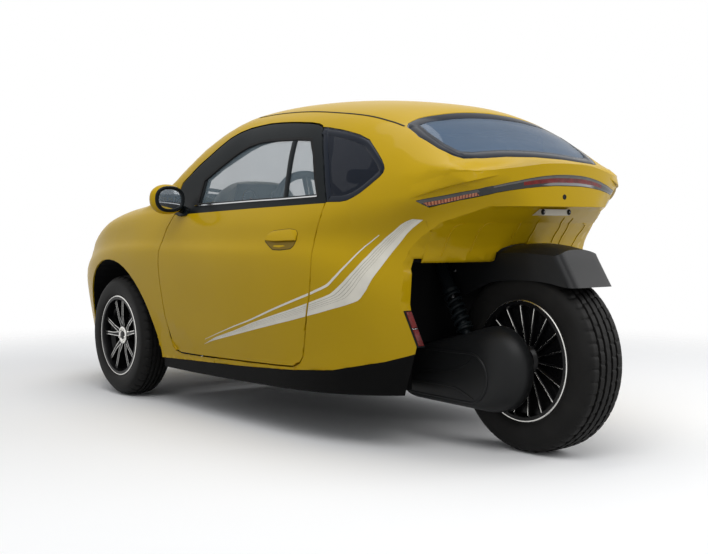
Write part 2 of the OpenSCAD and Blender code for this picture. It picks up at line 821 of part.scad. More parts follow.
module tyre_body(r, w, f, rim_w) {
  bead = rim_w / 2 - 8 - seat_gap;
  outer = [
    [f - 12 + seat_gap, bead - 20], [f - 12 + seat_gap, bead], [f + 2, bead], [f + 0.4 * (r - f), w / 2],
    [f + 0.62 * (r - f), w / 2], [r - 18, w / 2 - 7], [r - 5, w / 2 - 20], [r, w / 2 - 38]
  ];
  inner = [
    [r - 16, w / 2 - 34], [f + 0.55 * (r - f), w / 2 - 12], [f + 16, bead - 12]
  ];
  rotate_extrude($fn = 96) difference() {
    polygon(concat(outer, mirrored(outer), [for (p = turned(inner)) [p[0], -p[1]]], inner));
    for (g = [-0.2, 0, 0.2])
      translate([r - 6, g * w - 4]) square([12, 8]);
  }
}
module front_rim(side) {
  color(metal) translate([front_x, side * front_wheel_y, front_tyre_r]) rotate([side * -90, 0, 0]) difference() {
    union() {
      rim_barrel(front_rim_r, front_rim_w);
      translate([0, 0, 8]) cylinder(r = 34, h = 46);
      translate([0, 0, -50]) cylinder(r = 46, h = 60);
      translate([0, 0, -42]) cylinder(r = disc_r, h = 11);
      for (i = [0:4])
        rotate([0, 0, 72 * i + 59]) translate([0, 0, 33]) linear_extrude(17) {
          polygon([[20, -15], [62, -13], [front_rim_r - 20, -46], [front_rim_r - 20, -26], [88, 0],
            [front_rim_r - 20, 26], [front_rim_r - 20, 46], [62, 13], [20, 15]]);
        }
    }
    translate([0, 0, -80]) cylinder(r = stub_r + run_gap, h = 120);
  }
}
module front_rim_left() {
  front_rim(1);
}
module front_rim_right() {
  front_rim(-1);
}
module front_tyre(side) {
  color(rubber) translate([front_x, side * front_wheel_y, front_tyre_r]) rotate([side * -90, 0, 0])
    tyre_body(front_tyre_r, front_tyre_w, front_rim_r, front_rim_w);
}
module front_tyre_left() {
  front_tyre(1);
}
module front_tyre_right() {
  front_tyre(-1);
}
module rear_rim() {
  color(metal) translate([rear_x, 0, rear_tyre_r]) rotate([-90, 0, 0]) difference() {
    union() {
      rim_barrel(rear_rim_r, rear_rim_w);
      translate([0, 0, -80]) cylinder(r = 44, h = 160);
      for (i = [0:17])
        rotate([0, 0, 20 * i]) translate([30, -5, 30]) cube([rear_rim_r - 46, 10, 16]);
    }
    translate([0, 0, -120]) cylinder(r = axle_r + run_gap, h = 240);
  }
}
module rear_tyre() {
  color(rubber) translate([rear_x, 0, rear_tyre_r]) rotate([-90, 0, 0])
    tyre_body(rear_tyre_r, rear_tyre_w, rear_rim_r, rear_rim_w);
}
// Swing arm with the drive drum on its left leg, the axle and the pivot tube
module drive_unit() {
  px = bx(440);
  pz = bz(226);
  color(black) {
    translate([bx(49), 112, bz(280)]) rotate([-90, 0, 0]) cylinder(r = drum_r, h = 56);
    across(126, 204) hull() {
      translate([bx(52), bz(282)]) circle(r = 118);
      translate([px - 60, pz]) circle(r = 84);
    }
    across(204, 216) hull() {
      translate([bx(50), bz(284)]) circle(r = 84);
      translate([px - 90, pz + 4]) circle(r = 52);
    }
    across(-168, -114) hull() {
      translate([rear_x, rear_tyre_r]) circle(r = 46);
      translate([px, pz]) circle(r = 46);
    }
    translate([px, -262 + seat_gap, pz]) rotate([-90, 0, 0]) cylinder(r = pivot_r, h = 524 - 2 * seat_gap);
    across(-168, -134) hull() {
      translate([bx(176), bz(344)]) circle(r = 24);
      translate([bx(184), bz(280)]) circle(r = 40);
    }
    translate([rear_x, -168, rear_tyre_r]) rotate([-90, 0, 0]) cylinder(r = axle_r, h = 320);
  }
}
module rear_shocks() {
  rise = bz(636) - bz(371);
  lean = atan2(bx(329) - bx(176), rise);
  reach = rise / cos(lean) - 13;
  color("#2A2B2E") for (side = [-1, 1])
    translate([bx(176), side * shock_y, bz(371)]) rotate([0, lean, 0]) {
      translate([0, 0, 5]) cylinder(r = 12, h = reach - 5);
      translate([0, 0, 34]) cylinder(r = 30, h = reach * 0.5);
      translate([0, 0, reach - 40]) cylinder(r = 22, h = 40);
    }
}
// The mudguard's domed form, drawn in by d
module guard_form(d) {
  rings = [for (g = GUARD)
    let (w = guard_half_w * (g[0] < -60 ? 1 + (g[0] + 60) / 3200 : 1) - d, rise = bz(g[2]) - bz(g[1]),
      side = [[w, bz(300)], [w, bz(g[1]) - d], [0.8 * w, bz(g[1]) + 0.5 * rise - d],
        [0.45 * w, bz(g[1]) + 0.86 * rise - d]])
    concat([for (p = side) [bx(g[0]), p[0], p[1]]], [[bx(g[0]), 0, bz(g[2]) - d]],
      [for (i = [3:-1:0]) [bx(g[0]), -side[i][0], side[i][1]]])];
  m = len(rings[0]);
  walls = [for (i = [0:len(GUARD) - 2]) for (j = [0:m - 1])
    let (a = i * m + j, b = i * m + (j + 1) % m, c = a + m, e = b + m) each [[a, c, b], [b, c, e]]];
  ends = [[for (j = [0:m - 1]) j], [for (j = [m - 1:-1:0]) (len(GUARD) - 1) * m + j]];
  polyhedron([for (r = rings) for (p = r) p], concat(walls, ends), convexity = 4);
}
module rear_guard() {
  color(black) skin() difference() {
    intersection() {
      guard_form(0);
      across(-200, 200) side_outline(GUARD_SIDE);
    }
    intersection() {
      guard_form(5);
      across(-200, 200)
        polygon(put([[340, 0], [340, 800], [-143, 800], [-177, 655], [-240, 558], [-407, 300], [-407, 0]]));
    }
  }
}

module wheel_linings() {
  rear_well();
  front_liners();
}
module grilles() {
  grille();
  scuttle();
}
module tail_lamps() {
  tail_lamp();
  reflectors();
}

floor_pan();
wheel_linings();
side_left();
side_right();
roof_panel();
tail_panel();
wing_left();
wing_right();
bonnet();
front_bumper();
grilles();
headlamps();
windscreen();
rear_glass();
quarter_glass();
tail_lamps();
plate_bracket();
door_left();
door_right();
door_frame_left();
door_frame_right();
door_glass_left();
door_glass_right();
mirror_left();
mirror_right();
hinge_pins_left();
hinge_pins_right();
hinge_posts();
dashboard();
steering_wheel();
seats();
battery_pack();
front_subframe();
knuckle_left();
knuckle_right();
tie_rods();
front_rim_left();
front_rim_right();
front_tyre_left();
front_tyre_right();
drive_unit();
rear_shocks();
rear_guard();
rear_rim();
rear_tyre();
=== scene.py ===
import math

import bmesh
import bpy
import numpy as np
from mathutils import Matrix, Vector
from mathutils.bvhtree import BVHTree


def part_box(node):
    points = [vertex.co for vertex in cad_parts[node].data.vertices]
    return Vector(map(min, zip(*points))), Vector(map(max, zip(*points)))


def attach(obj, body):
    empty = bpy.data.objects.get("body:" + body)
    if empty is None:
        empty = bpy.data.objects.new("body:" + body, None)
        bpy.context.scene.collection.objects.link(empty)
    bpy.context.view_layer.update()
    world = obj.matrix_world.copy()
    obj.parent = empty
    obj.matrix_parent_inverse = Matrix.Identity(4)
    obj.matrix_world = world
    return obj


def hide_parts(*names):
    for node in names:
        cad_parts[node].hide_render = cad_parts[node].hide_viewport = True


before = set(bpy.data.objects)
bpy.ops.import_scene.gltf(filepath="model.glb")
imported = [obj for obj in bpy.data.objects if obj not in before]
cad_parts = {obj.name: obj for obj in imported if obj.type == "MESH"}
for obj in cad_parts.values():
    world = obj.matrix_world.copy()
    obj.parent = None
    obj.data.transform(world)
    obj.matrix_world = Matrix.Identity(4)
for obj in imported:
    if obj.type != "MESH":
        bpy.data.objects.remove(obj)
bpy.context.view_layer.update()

scene = bpy.context.scene
scene.view_settings.view_transform = "Standard"

# All tables are in millimetres: x ahead of the rear axle, y to the left, z above the ground.
ORIGIN = np.array([1191.0, 0.0, 0.0])

# x, then half width and height of sill, waist, flank, belt and roof rail, then the height of the middle line
BODY = np.array([
    [-170, 300, 228, 260, 500, 150, 775, 230, 885, 312, 934, 958],
    [-60, 312, 222, 312, 500, 240, 775, 314, 885, 346, 948, 966],
    [20, 328, 214, 350, 498, 316, 772, 406, 880, 374, 960, 988],
    [100, 354, 205, 392, 498, 382, 752, 477, 858, 370, 1006, 1046],
    [200, 396, 196, 455, 512, 440, 702, 507, 847, 372, 1062, 1118],
    [300, 454, 189, 530, 545, 510, 704, 532, 844, 374, 1098, 1172],
    [450, 518, 183, 588, 575, 573, 710, 556, 841, 388, 1133, 1204],
    [650, 552, 178, 616, 586, 604, 713, 571, 837, 400, 1154, 1228],
    [850, 560, 174, 629, 588, 614, 712, 579, 834, 406, 1166, 1238],
    [1050, 562, 170, 635, 588, 619, 711, 583, 831, 416, 1166, 1234],
    [1200, 562, 168, 636, 588, 620, 710, 585, 829, 432, 1150, 1210],
    [1350, 562, 166, 636, 588, 620, 709, 585, 827, 455, 1094, 1150],
    [1450, 562, 166, 636, 588, 620, 708, 585, 825, 474, 1032, 1092],
    [1550, 562, 166, 635, 588, 619, 707, 585, 823, 494, 956, 1028],
    [1650, 561, 166, 634, 587, 618, 706, 583, 820, 500, 888, 962],
    [1750, 559, 167, 632, 585, 615, 703, 579, 815, 478, 860, 908],
    [1840, 556, 168, 628, 582, 610, 699, 573, 809, 440, 854, 880],
    [1995, 547, 172, 619, 572, 600, 690, 561, 797, 400, 843, 862],
    [2150, 534, 178, 602, 555, 583, 671, 544, 774, 370, 822, 842],
    [2300, 514, 186, 574, 530, 552, 642, 512, 735, 345, 792, 811],
    [2430, 484, 196, 534, 505, 512, 610, 472, 690, 320, 754, 772],
    [2540, 439, 208, 482, 480, 460, 572, 420, 640, 285, 705, 722],
    [2620, 372, 228, 420, 465, 398, 536, 362, 600, 240, 648, 665],
    [2668, 266, 262, 309, 455, 300, 502, 276, 545, 170, 589, 602],
    [2690, 92, 360, 112, 445, 109, 471, 102, 495, 62, 515, 520],
], float)

# Smooth outer form

ROW_X = BODY[:, 0]
ROW = BODY[:, 1:]
BEFORE = np.maximum(np.arange(len(ROW_X)) - 1, 0)
AFTER = np.minimum(np.arange(len(ROW_X)) + 1, len(ROW_X) - 1)
ROW_SLOPE = (ROW[AFTER] - ROW[BEFORE]) / (ROW_X[AFTER] - ROW_X[BEFORE])[:, None]


def weights(u):
    """Hermite weights of start, end, start slope and end slope."""
    return np.stack([2 * u**3 - 3 * u**2 + 1, 3 * u**2 - 2 * u**3, u**3 - 2 * u**2 + u, u**3 - u**2], axis=-1)


def columns(x):
    """The eleven section values at each x."""
    i = np.clip(np.searchsorted(ROW_X, x, side="right") - 1, 0, len(ROW_X) - 2)
    h = (ROW_X[i + 1] - ROW_X[i])[:, None]
    w = weights((x - ROW_X[i]) / h[:, 0])
    return (w[:, 0:1] * ROW[i] + w[:, 1:2] * ROW[i + 1]
            + w[:, 2:3] * ROW_SLOPE[i] * h + w[:, 3:4] * ROW_SLOPE[i + 1] * h)


def controls(x, depth):
    """Points and turns of the section at each x, drawn in by depth."""
    c = columns(x)
    k = np.zeros((len(x), 6, 2))
    k[:, 0] = c[:, 0:2] + [-depth, depth]
    k[:, 1] = c[:, 2:4] + [-depth, 0]
    k[:, 2] = c[:, 4:6] + [-depth, 0]
    k[:, 3] = c[:, 6:8] + [-depth, -0.3 * depth]
    k[:, 4] = c[:, 8:10] + [-0.62 * depth, -0.82 * depth]
    k[:, 5, 1] = c[:, 10] - depth
    t = np.zeros_like(k)
    t[:, 0] = k[:, 1] - k[:, 0]
    t[:, 1:5] = (k[:, 2:6] - k[:, 0:4]) / 2
    t[:, 5, 0] = -k[:, 4, 0]
    return k, t


def ease(a, b, v):
    """Rises smoothly from 0 at a to 1 at b."""
    u = np.clip((v - a) / (b - a), 0, 1)
    return u * u * (3 - 2 * u)


def unit(rows):
    """Each row at length one."""
    return rows / np.maximum(np.linalg.norm(rows, axis=1), 1e-9)[:, None]


def along(path):
    """The direction of a path at each of its points."""
    return unit(np.gradient(path, axis=0))


CREASE_X = [140, 260, 330, 420, 520, 720, 990, 1160, 1330, 1470, 1580, 1660]
CREASE_Z = [740, 590, 500, 476, 450, 404, 348, 312, 308, 364, 405, 440]
DENT_DEEP = 11
DENT_TALL = 130


def dent(x, z):
    """How far the side is pressed in below the crease that runs along the stripe."""
    line = np.interp(x, CREASE_X, CREASE_Z)
    below = np.clip((line - z) / DENT_TALL, 0, 1)
    reach = ease(215, 330, x) * (1 - ease(1560, 1660, x))
    low = ease(150, 240, z)
    return -DENT_DEEP * (below ** 0.8) * reach * low


def section(x, s, depth=0.0, pressed=True):
    """Half width and height at each x and each place s from sill 0 to middle 5."""
    k, t = controls(x, depth)
    i = np.clip(np.floor(s).astype(int), 0, 4)
    n = np.arange(len(x))
    w = weights(s - i)
    p = w[:, 0:1] * k[n, i] + w[:, 1:2] * k[n, i + 1] + w[:, 2:3] * t[n, i] + w[:, 3:4] * t[n, i + 1]
    if pressed:
        p[:, 0] += dent(x, p[:, 1])
    return p


STEPS = 30
GRID = weights(np.arange(STEPS) / STEPS)
BATCH = 4000


def nearest(points, depth):
    """The form's point at each point's x, its normal, and how far the point was off the plain form."""
    x = points[:, 0]
    goal = np.stack([np.abs(points[:, 1]), points[:, 2]], axis=1)
    s_out = np.zeros(len(points))
    for a in range(0, len(points), BATCH):
        k, t = controls(x[a:a + BATCH], depth)
        four = np.stack([k[:, :-1], k[:, 1:], t[:, :-1], t[:, 1:]], axis=2)
        lines = np.einsum("gw,nkwc->nkgc", GRID, four).reshape(len(k), -1, 2)
        off = lines - goal[a:a + BATCH, None]
        s_out[a:a + BATCH] = np.argmin((off ** 2).sum(2), axis=1) / STEPS
    for _ in range(4):
        p = section(x, s_out, depth, False)
        q = section(x, np.clip(s_out + 0.01, 0, 5), depth, False)
        r = section(x, np.clip(s_out - 0.01, 0, 5), depth, False)
        d = (q - r) / 0.02
        move = ((goal - p) * d).sum(1) / np.maximum((d * d).sum(1), 1e-6)
        s_out = np.clip(s_out + np.clip(move, -0.05, 0.05), 0, 5)
    away = np.linalg.norm(section(x, s_out, depth, False) - goal, axis=1)
    return surface(x, s_out, np.sign(points[:, 1] + 1e-9), depth) + (away,)


def surface(x, s, side, depth=0.0):
    """Point and outward normal of the form."""
    p = section(x, s, depth)
    ds = section(x, np.minimum(s + 0.02, 5), depth) - section(x, np.maximum(s - 0.02, 0), depth)
    fore = section(x + 3, s, depth)
    back = section(x - 3, s, depth)
    dx = np.stack([np.full(len(x), 6.0), fore[:, 0] - back[:, 0], fore[:, 1] - back[:, 1]], axis=1)
    up = np.stack([np.zeros(len(x)), ds[:, 0], ds[:, 1]], axis=1)
    n = unit(np.cross(up, dx))
    n[:, 1] *= side
    return np.stack([x, p[:, 0] * side, p[:, 1]], axis=1), n


def on_side(x, z, side=1, depth=0.0):
    """Point and normal of the form's side at given x and height."""
    x = np.atleast_1d(np.asarray(x, float))
    z = np.atleast_1d(np.asarray(z, float))
    s = np.linspace(0, 4.4, 221)
    best = np.zeros(len(x))
    for i in range(len(x)):
        heights = section(np.full(len(s), x[i]), s, depth)[:, 1]
        best[i] = np.interp(z[i], heights, s)
    return surface(x, best, np.full(len(x), float(side)), depth)


def on_top(x, y, depth=0.0):
    """Point and normal of the form's upper face at given x and y."""
    x = np.atleast_1d(np.asarray(x, float))
    y = np.atleast_1d(np.asarray(y, float))
    s = np.linspace(3, 5, 201)
    best = np.zeros(len(x))
    for i in range(len(x)):
        widths = section(np.full(len(s), x[i]), s, depth)[:, 0]
        best[i] = np.interp(-abs(y[i]), -widths, s)
    return surface(x, best, np.sign(y + 1e-9), depth)


# The tail's curve seen from above: where it starts, its length, half width and power
BOW_X = 330
BOW_LONG = 465
BOW_WIDE = 562
BOW_POWER = 2.05


def bow(points):
    """Distance from the tail's curve seen from above, and its normal."""
    u = np.abs(np.minimum((points[:, 0] - BOW_X) / BOW_LONG, 0))
    v = points[:, 1] / BOW_WIDE
    g = u ** BOW_POWER + np.abs(v) ** BOW_POWER - 1
    grad = np.zeros_like(points)
    grad[:, 0] = -BOW_POWER * u ** (BOW_POWER - 1) / BOW_LONG
    grad[:, 1] = BOW_POWER * np.abs(v) ** (BOW_POWER - 1) * np.sign(v) / BOW_WIDE
    size = np.maximum(np.linalg.norm(grad, axis=1), 1e-6)
    return g / size, grad / size[:, None]


def bow_y(x):
    """Half width of the tail's curve at x."""
    return BOW_WIDE * max(1 - (max(BOW_X - x, 0) / BOW_LONG) ** BOW_POWER, 0) ** (1 / BOW_POWER)


def bow_x(y):
    """Rearmost x of the tail's curve at y."""
    return BOW_X - BOW_LONG * max(1 - (abs(y) / BOW_WIDE) ** BOW_POWER, 0) ** (1 / BOW_POWER)


# Materials

def set_sockets(node, values):
    for name, value in values.items():
        node.inputs[name].default_value = value


def new_node(tree, kind, values=None):
    """A new shader node with the given socket values."""
    node = tree.nodes.new("ShaderNode" + kind)
    set_sockets(node, values or {})
    return node


def material(name, colour, rough, metallic=0.0, coat=0.0, grain=300.0, bump=0.05, mottle=0.06, patch=5.0,
             spread=0.06, alpha=1.0, sheen=0.0, specular=0.5):
    """A surface with a fine grain, a slow change of shade and an uneven gloss."""
    m = bpy.data.materials.new(name)
    m.use_nodes = True
    tree = m.node_tree
    link = tree.links.new
    shader = tree.nodes["Principled BSDF"]
    set_sockets(shader, {"Metallic": metallic, "Coat Weight": coat, "Coat Roughness": 0.04, "Alpha": alpha,
                         "Sheen Weight": sheen, "Specular IOR Level": specular})
    place = new_node(tree, "TexCoord")
    slow = new_node(tree, "TexNoise", {"Scale": patch, "Detail": 4})
    link(place.outputs["Object"], slow.inputs["Vector"])
    ramp = new_node(tree, "ValToRGB")
    for stop, at, shade in zip(ramp.color_ramp.elements, (0.3, 0.7), (1 - mottle, 1 + mottle)):
        stop.color = (*[min(max(c * shade, 0), 1) for c in colour], 1)
        stop.position = at
    link(slow.outputs["Fac"], ramp.inputs["Fac"])
    link(ramp.outputs["Color"], shader.inputs["Base Color"])
    fine = new_node(tree, "TexNoise", {"Scale": grain, "Detail": 3})
    link(place.outputs["Object"], fine.inputs["Vector"])
    gloss = new_node(tree, "MapRange", {"To Min": max(rough - spread, 0.01),
                                        "To Max": min(rough + spread, 1)})
    link(fine.outputs["Fac"], gloss.inputs["Value"])
    link(gloss.outputs["Result"], shader.inputs["Roughness"])
    relief = new_node(tree, "Bump", {"Strength": bump, "Distance": 0.001})
    link(fine.outputs["Fac"], relief.inputs["Height"])
    link(relief.outputs["Normal"], shader.inputs["Normal"])
    if alpha < 1:
        m.surface_render_method = "BLENDED"
    return m


PAINT = material("paint_yellow", (0.54, 0.345, 0.003), 0.36, coat=0.16, grain=900, bump=0.012, mottle=0.03,
                 patch=2.2, spread=0.05, specular=0.05)
# Darker yellow for the door handle's pocket: painted shade standing for the recess behind the flap.
POCKET_PAINTED_SHADE = material("painted_pocket_shade", (0.20, 0.125, 0.002), 0.45, grain=900, bump=0.02, mottle=0.05, specular=0.2)
PLASTIC = material("plastic_black", (0.0075, 0.008, 0.0088), 0.40, grain=1400, bump=0.10, mottle=0.15,
                   specular=0.22)
SATIN = material("satin_black", (0.0075, 0.010, 0.0115), 0.34, grain=700, bump=0.02, mottle=0.1,
                 specular=0.07)
METAL = material("black_metal", (0.0085, 0.009, 0.0095), 0.42, grain=500, bump=0.10, mottle=0.2,
                 specular=0.22)
GLASS = material("glass_tint", (0.26, 0.34, 0.39), 0.03, grain=60, bump=0.004, mottle=0.1, spread=0.01,
                 alpha=0.26, specular=0.2)
DARK_GLASS = material("glass_dark", (0.075, 0.135, 0.225), 0.03, grain=60, bump=0.004, mottle=0.12, patch=3,
                      spread=0.01, alpha=0.60, specular=0.3)
SIDE_GLASS = material("glass_side", (0.006, 0.010, 0.020), 0.03, grain=60, bump=0.004, mottle=0.1,
                      spread=0.01, alpha=0.84, specular=0.1)
BORDER = material("glass_border", (0.007, 0.011, 0.020), 0.16, grain=900, bump=0.01, mottle=0.1,
                  specular=0.12)
RUBBER = material("rubber", (0.006, 0.006, 0.0065), 0.62, grain=800, bump=0.18, mottle=0.25, patch=9,
                  spread=0.1, specular=0.15)
TYRE = material("tyre_rubber", (0.0075, 0.0072, 0.0068), 0.60, grain=650, bump=0.16, mottle=0.3, patch=14,
                spread=0.12, specular=0.16)
CHROME = material("chrome_trim", (0.62, 0.63, 0.64), 0.14, metallic=1.0, grain=600, bump=0.01, mottle=0.05)
ALLOY = material("machined_alloy", (0.74, 0.73, 0.70), 0.24, metallic=1.0, grain=900, bump=0.05, mottle=0.06)
RIM_BLACK = material("rim_black", (0.004, 0.004, 0.0045), 0.28, grain=500, bump=0.02, mottle=0.1,
                     specular=0.2)
STEEL = material("steel_part", (0.22, 0.22, 0.23), 0.38, metallic=1.0, grain=500, bump=0.08, mottle=0.15)
DASH = material("dash_trim", (0.40, 0.36, 0.29), 0.62, grain=900, bump=0.25, mottle=0.06, sheen=0.1)
TRIM_DARK = material("trim_dark", (0.020, 0.019, 0.018), 0.5, grain=900, bump=0.2, mottle=0.12, specular=0.3)
LINING = material("lining_black", (0.003, 0.003, 0.0032), 0.7, grain=240, bump=0.3, mottle=0.2, specular=0.08)
SILL = material("sill_black", (0.003, 0.003, 0.003), 0.5, grain=1200, bump=0.15, mottle=0.2, specular=0.05)
SEAT = material("seat_cloth", (0.032, 0.032, 0.035), 0.85, grain=1600, bump=0.5, mottle=0.2, sheen=0.4)
LAMP_RED = material("lamp_red", (0.15, 0.006, 0.005), 0.14, coat=0.15, grain=420, bump=0.35, mottle=0.4,
                    patch=60, specular=0.2)
LAMP_DARK = material("lamp_dark", (0.010, 0.010, 0.011), 0.08, grain=300, bump=0.01, mottle=0.2, specular=0.5)
LAMP_SMOKE = material("lamp_smoke", (0.10, 0.095, 0.085), 0.10, grain=300, bump=0.05, mottle=0.25, patch=25)
LAMP_AMBER = material("lamp_amber", (0.62, 0.19, 0.06), 0.14, coat=0.5, grain=300, bump=0.10, mottle=0.3,
                      patch=80)
LAMP_CLEAR = material("lamp_clear", (0.55, 0.57, 0.60), 0.06, coat=1.0, grain=200, bump=0.02, mottle=0.1)
MIRROR = material("mirror_glass", (0.78, 0.80, 0.83), 0.03, metallic=1.0, grain=60, bump=0.003, mottle=0.03)
PALE = material("plate_pale", (0.52, 0.49, 0.42), 0.35, grain=400, bump=0.05, mottle=0.05)
BATTERY = material("battery_case", (0.06, 0.065, 0.07), 0.5, grain=300, bump=0.2, mottle=0.1)
DECAL = material("stripe_silver", (0.74, 0.71, 0.62), 0.34, metallic=0.15, grain=300, bump=0.02, mottle=0.07,
                 patch=16)
DECAL_LINE = material("stripe_line", (0.30, 0.27, 0.20), 0.4, grain=300, bump=0.02, mottle=0.1)


# Mesh tools

SIDES = ((1, "left"), (-1, "right"))
WELD = 2e-6


def placed(name, data):
    """A new object in the scene."""
    obj = bpy.data.objects.new(name, data)
    scene.collection.objects.link(obj)
    return obj


def vertex_rows(mesh, what="co"):
    """The places or normals of a mesh's vertices, as rows."""
    flat = np.zeros(len(mesh.vertices) * 3)
    mesh.vertices.foreach_get(what, flat)
    return flat.reshape(-1, 3)


class Shape:
    """Collects faces, in millimetres, and makes one piece of them."""

    def __init__(self):
        self.verts = []
        self.faces = []
        self.marks = []

    def add(self, verts, faces, mark=0):
        start = len(self.verts)
        self.verts.extend([tuple(float(c) for c in v) for v in verts])
        self.faces.extend([[i + start for i in f] for f in faces])
        self.marks.extend([mark] * len(faces))

    def rings(self, rings, mark=0, closed=True, caps=True, loop=False):
        """Skins a row of rings, each a list of points."""
        n = len(rings[0])
        verts = [p for r in rings for p in r]
        faces = []
        rows = len(rings)
        for i in range(rows if loop else rows - 1):
            for j in range(n if closed else n - 1):
                a = i * n + j
                b = i * n + (j + 1) % n
                c = ((i + 1) % rows) * n + (j + 1) % n
                d = ((i + 1) % rows) * n + j
                faces.append([a, b, c, d])
        if caps and closed and not loop:
            faces.append(list(range(n))[::-1])
            faces.append([(rows - 1) * n + j for j in range(n)])
        self.add(verts, faces, mark)

    def sweep(self, path, normals, profile, mark=0, scale=None, caps=True):
        """Pushes a profile of (sideways, outward) points along a path that lies on a surface."""
        path = np.asarray(path, float)
        normals = np.asarray(normals, float)
        if normals.ndim == 1:
            normals = np.tile(normals, (len(path), 1))
        run = along(path)
        across = unit(np.cross(run, normals))
        out = np.cross(across, run)
        scale = np.ones(len(path)) if scale is None else np.asarray(scale, float)
        rings = []
        for i in range(len(path)):
            rings.append([path[i] + scale[i] * p[0] * across[i] + p[1] * out[i] for p in profile])
        self.rings(rings, mark, caps=caps)

    def tube(self, path, radius, sides=10, mark=0):
        """A round bar along a path."""
        path = np.asarray(path, float)
        radius = np.broadcast_to(np.asarray(radius, float), (len(path),))
        run = along(path)
        up = np.array([0.0, 0.0, 1.0]) if abs(run[0][2]) < 0.8 else np.array([1.0, 0.0, 0.0])
        rings = []
        for i in range(len(path)):
            a = np.cross(run[i], up)
            a /= np.linalg.norm(a)
            b = np.cross(a, run[i])
            up = b
            rings.append([path[i] + radius[i] * (math.cos(t) * a + math.sin(t) * b)
                          for t in np.linspace(0, 2 * math.pi, sides, endpoint=False)])
        self.rings(rings, mark)

    def prism(self, outline, low, high, place, bevel, side_mark=0, top_mark=None):
        """An outline given thickness and a bevelled top edge; place turns (u, v, height) into a point."""
        pts = np.asarray(outline, float)
        n = len(pts)
        low = np.broadcast_to(np.asarray(low, float), (n,))
        high = np.broadcast_to(np.asarray(high, float), (n,))
        if signed_area(pts) < 0:
            pts, low, high = pts[::-1], low[::-1], high[::-1]
        inner = inset(pts, bevel)
        foot = [place(*pts[i], low[i]) for i in range(n)]
        edge = [place(*pts[i], high[i] - bevel) for i in range(n)]
        top = [place(*inner[i], high[i]) for i in range(n)]
        self.rings([foot, edge, top], side_mark, caps=False)
        self.add(top, [list(range(n))], side_mark if top_mark is None else top_mark)
        self.add(foot, [list(range(n))[::-1]], side_mark)

    def spin(self, profile, place, turns, mark=0, shape=None):
        """Turns a profile of (radius, height) points round; place takes (u, v, height)."""
        rings = []
        for i in range(turns):
            t = 2 * math.pi * i / turns
            ring = []
            for r, h in profile:
                r2 = shape(r, h, i) if shape else r
                ring.append(place(r2 * math.cos(t), r2 * math.sin(t), h))
            rings.append(ring)
        self.rings(rings, mark, caps=False, loop=True)

    def make(self, name, materials, body, angle=35):
        """One piece of all faces, riding a body."""
        mesh = bpy.data.meshes.new(name)
        mesh.from_pydata(((np.asarray(self.verts) - ORIGIN) / 1000).tolist(), [], self.faces)
        for m in materials:
            mesh.materials.append(m)
        mesh.polygons.foreach_set("material_index", self.marks)
        bm = bmesh.new()
        bm.from_mesh(mesh)
        bmesh.ops.remove_doubles(bm, verts=bm.verts, dist=WELD)
        bmesh.ops.recalc_face_normals(bm, faces=bm.faces)
        bm.to_mesh(mesh)
        bm.free()
        mesh.shade_smooth()
        mesh.set_sharp_from_angle(angle=math.radians(angle))
        obj = placed(name, mesh)
        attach(obj, body)
        return obj


def signed_area(pts):
    x, y = pts[:, 0], pts[:, 1]
    return 0.5 * float(np.sum(x * np.roll(y, -1) - np.roll(x, -1) * y))


def inset(pts, d):
    """An outline drawn in by d, going round against the clock."""
    a = unit(pts - np.roll(pts, 1, axis=0))
    b = unit(np.roll(pts, -1, axis=0) - pts)
    na = np.stack([-a[:, 1], a[:, 0]], axis=1)
    nb = np.stack([-b[:, 1], b[:, 0]], axis=1)
    n = na + nb
    n /= np.maximum((n * na).sum(1), 0.35)[:, None]
    return pts + d * n


def spread_out(points, count):
    """Points at even steps along a broken line."""
    p = np.asarray(points, float)
    way = np.concatenate([[0], np.cumsum(np.linalg.norm(np.diff(p, axis=0), axis=1))])
    goal = np.linspace(0, way[-1], count)
    return np.stack([np.interp(goal, way, p[:, i]) for i in range(p.shape[1])], axis=1)


def curve(points, count):
    """A smooth run of points through a few given ones, evenly spread."""
    p = np.asarray(points, float)
    ext = np.vstack([2 * p[0] - p[1], p, 2 * p[-1] - p[-2]])
    out = []
    for i in range(len(p) - 1):
        a, b, c, d = ext[i:i + 4]
        for u in np.linspace(0, 1, 16, endpoint=False):
            out.append(0.5 * (2 * b + (c - a) * u + (2 * a - 5 * b + 4 * c - d) * u * u
                              + (3 * b - a - 3 * c + d) * u ** 3))
    return spread_out(out + [p[-1]], count)


# Body panels: the solids' own outlines, cut fine and laid on the smooth form

BAND_X = [-134, -120, -104, -76, -49, -5, 39, 70, 96]
BAND_TOP = [923, 912, 900, 884, 875, 864, 852, 844, 837]
BAND_LOW = [886.5, 880, 873, 861, 853.5, 842.5, 829, 819.5, 815]
DECK_Z = 958
DECK_FALL = 24


def deck_drop(p):
    """How far the tail's deck falls away towards its corners, above the light bar."""
    line = np.interp(p[:, 0], BAND_X, BAND_TOP)
    up = np.clip((p[:, 2] - line - 4) / (DECK_Z - line), 0, 1.15)
    return DECK_FALL * up * ease(60, 330, np.abs(p[:, 1])) * (1 - ease(-48, 10, p[:, 0]))


def dropped(p, normal):
    """Points and normals after the fall of the deck."""
    slope = [(deck_drop(p + e) - deck_drop(p - e)) / 2 for e in np.eye(3)]
    tall = 1 - slope[2]
    turned = normal.copy()
    for axis in (0, 1):
        turned[:, axis] = normal[:, axis] * tall + normal[:, 2] * slope[axis]
    return p - np.stack([0 * tall, 0 * tall, deck_drop(p)], axis=1), unit(turned)


SKINS = {}
PITCH = 0.032
# How near the form a face lies and how well it agrees with it, on the body and at the nose
NOSE_X = 2480
NEAR, NEAR_NOSE = 11.0, 26.0
ALIKE, ALIKE_NOSE = 0.86, 0.7
# Where the laying on the form fades, along x at the tail and the nose and away from the tail's edge
TAIL_FADE = (40, 108)
NOSE_FADE = (2590, 2664)
EDGE_FADE = 70
CABIN_X = (330, 1800)
CABIN_Z = 420


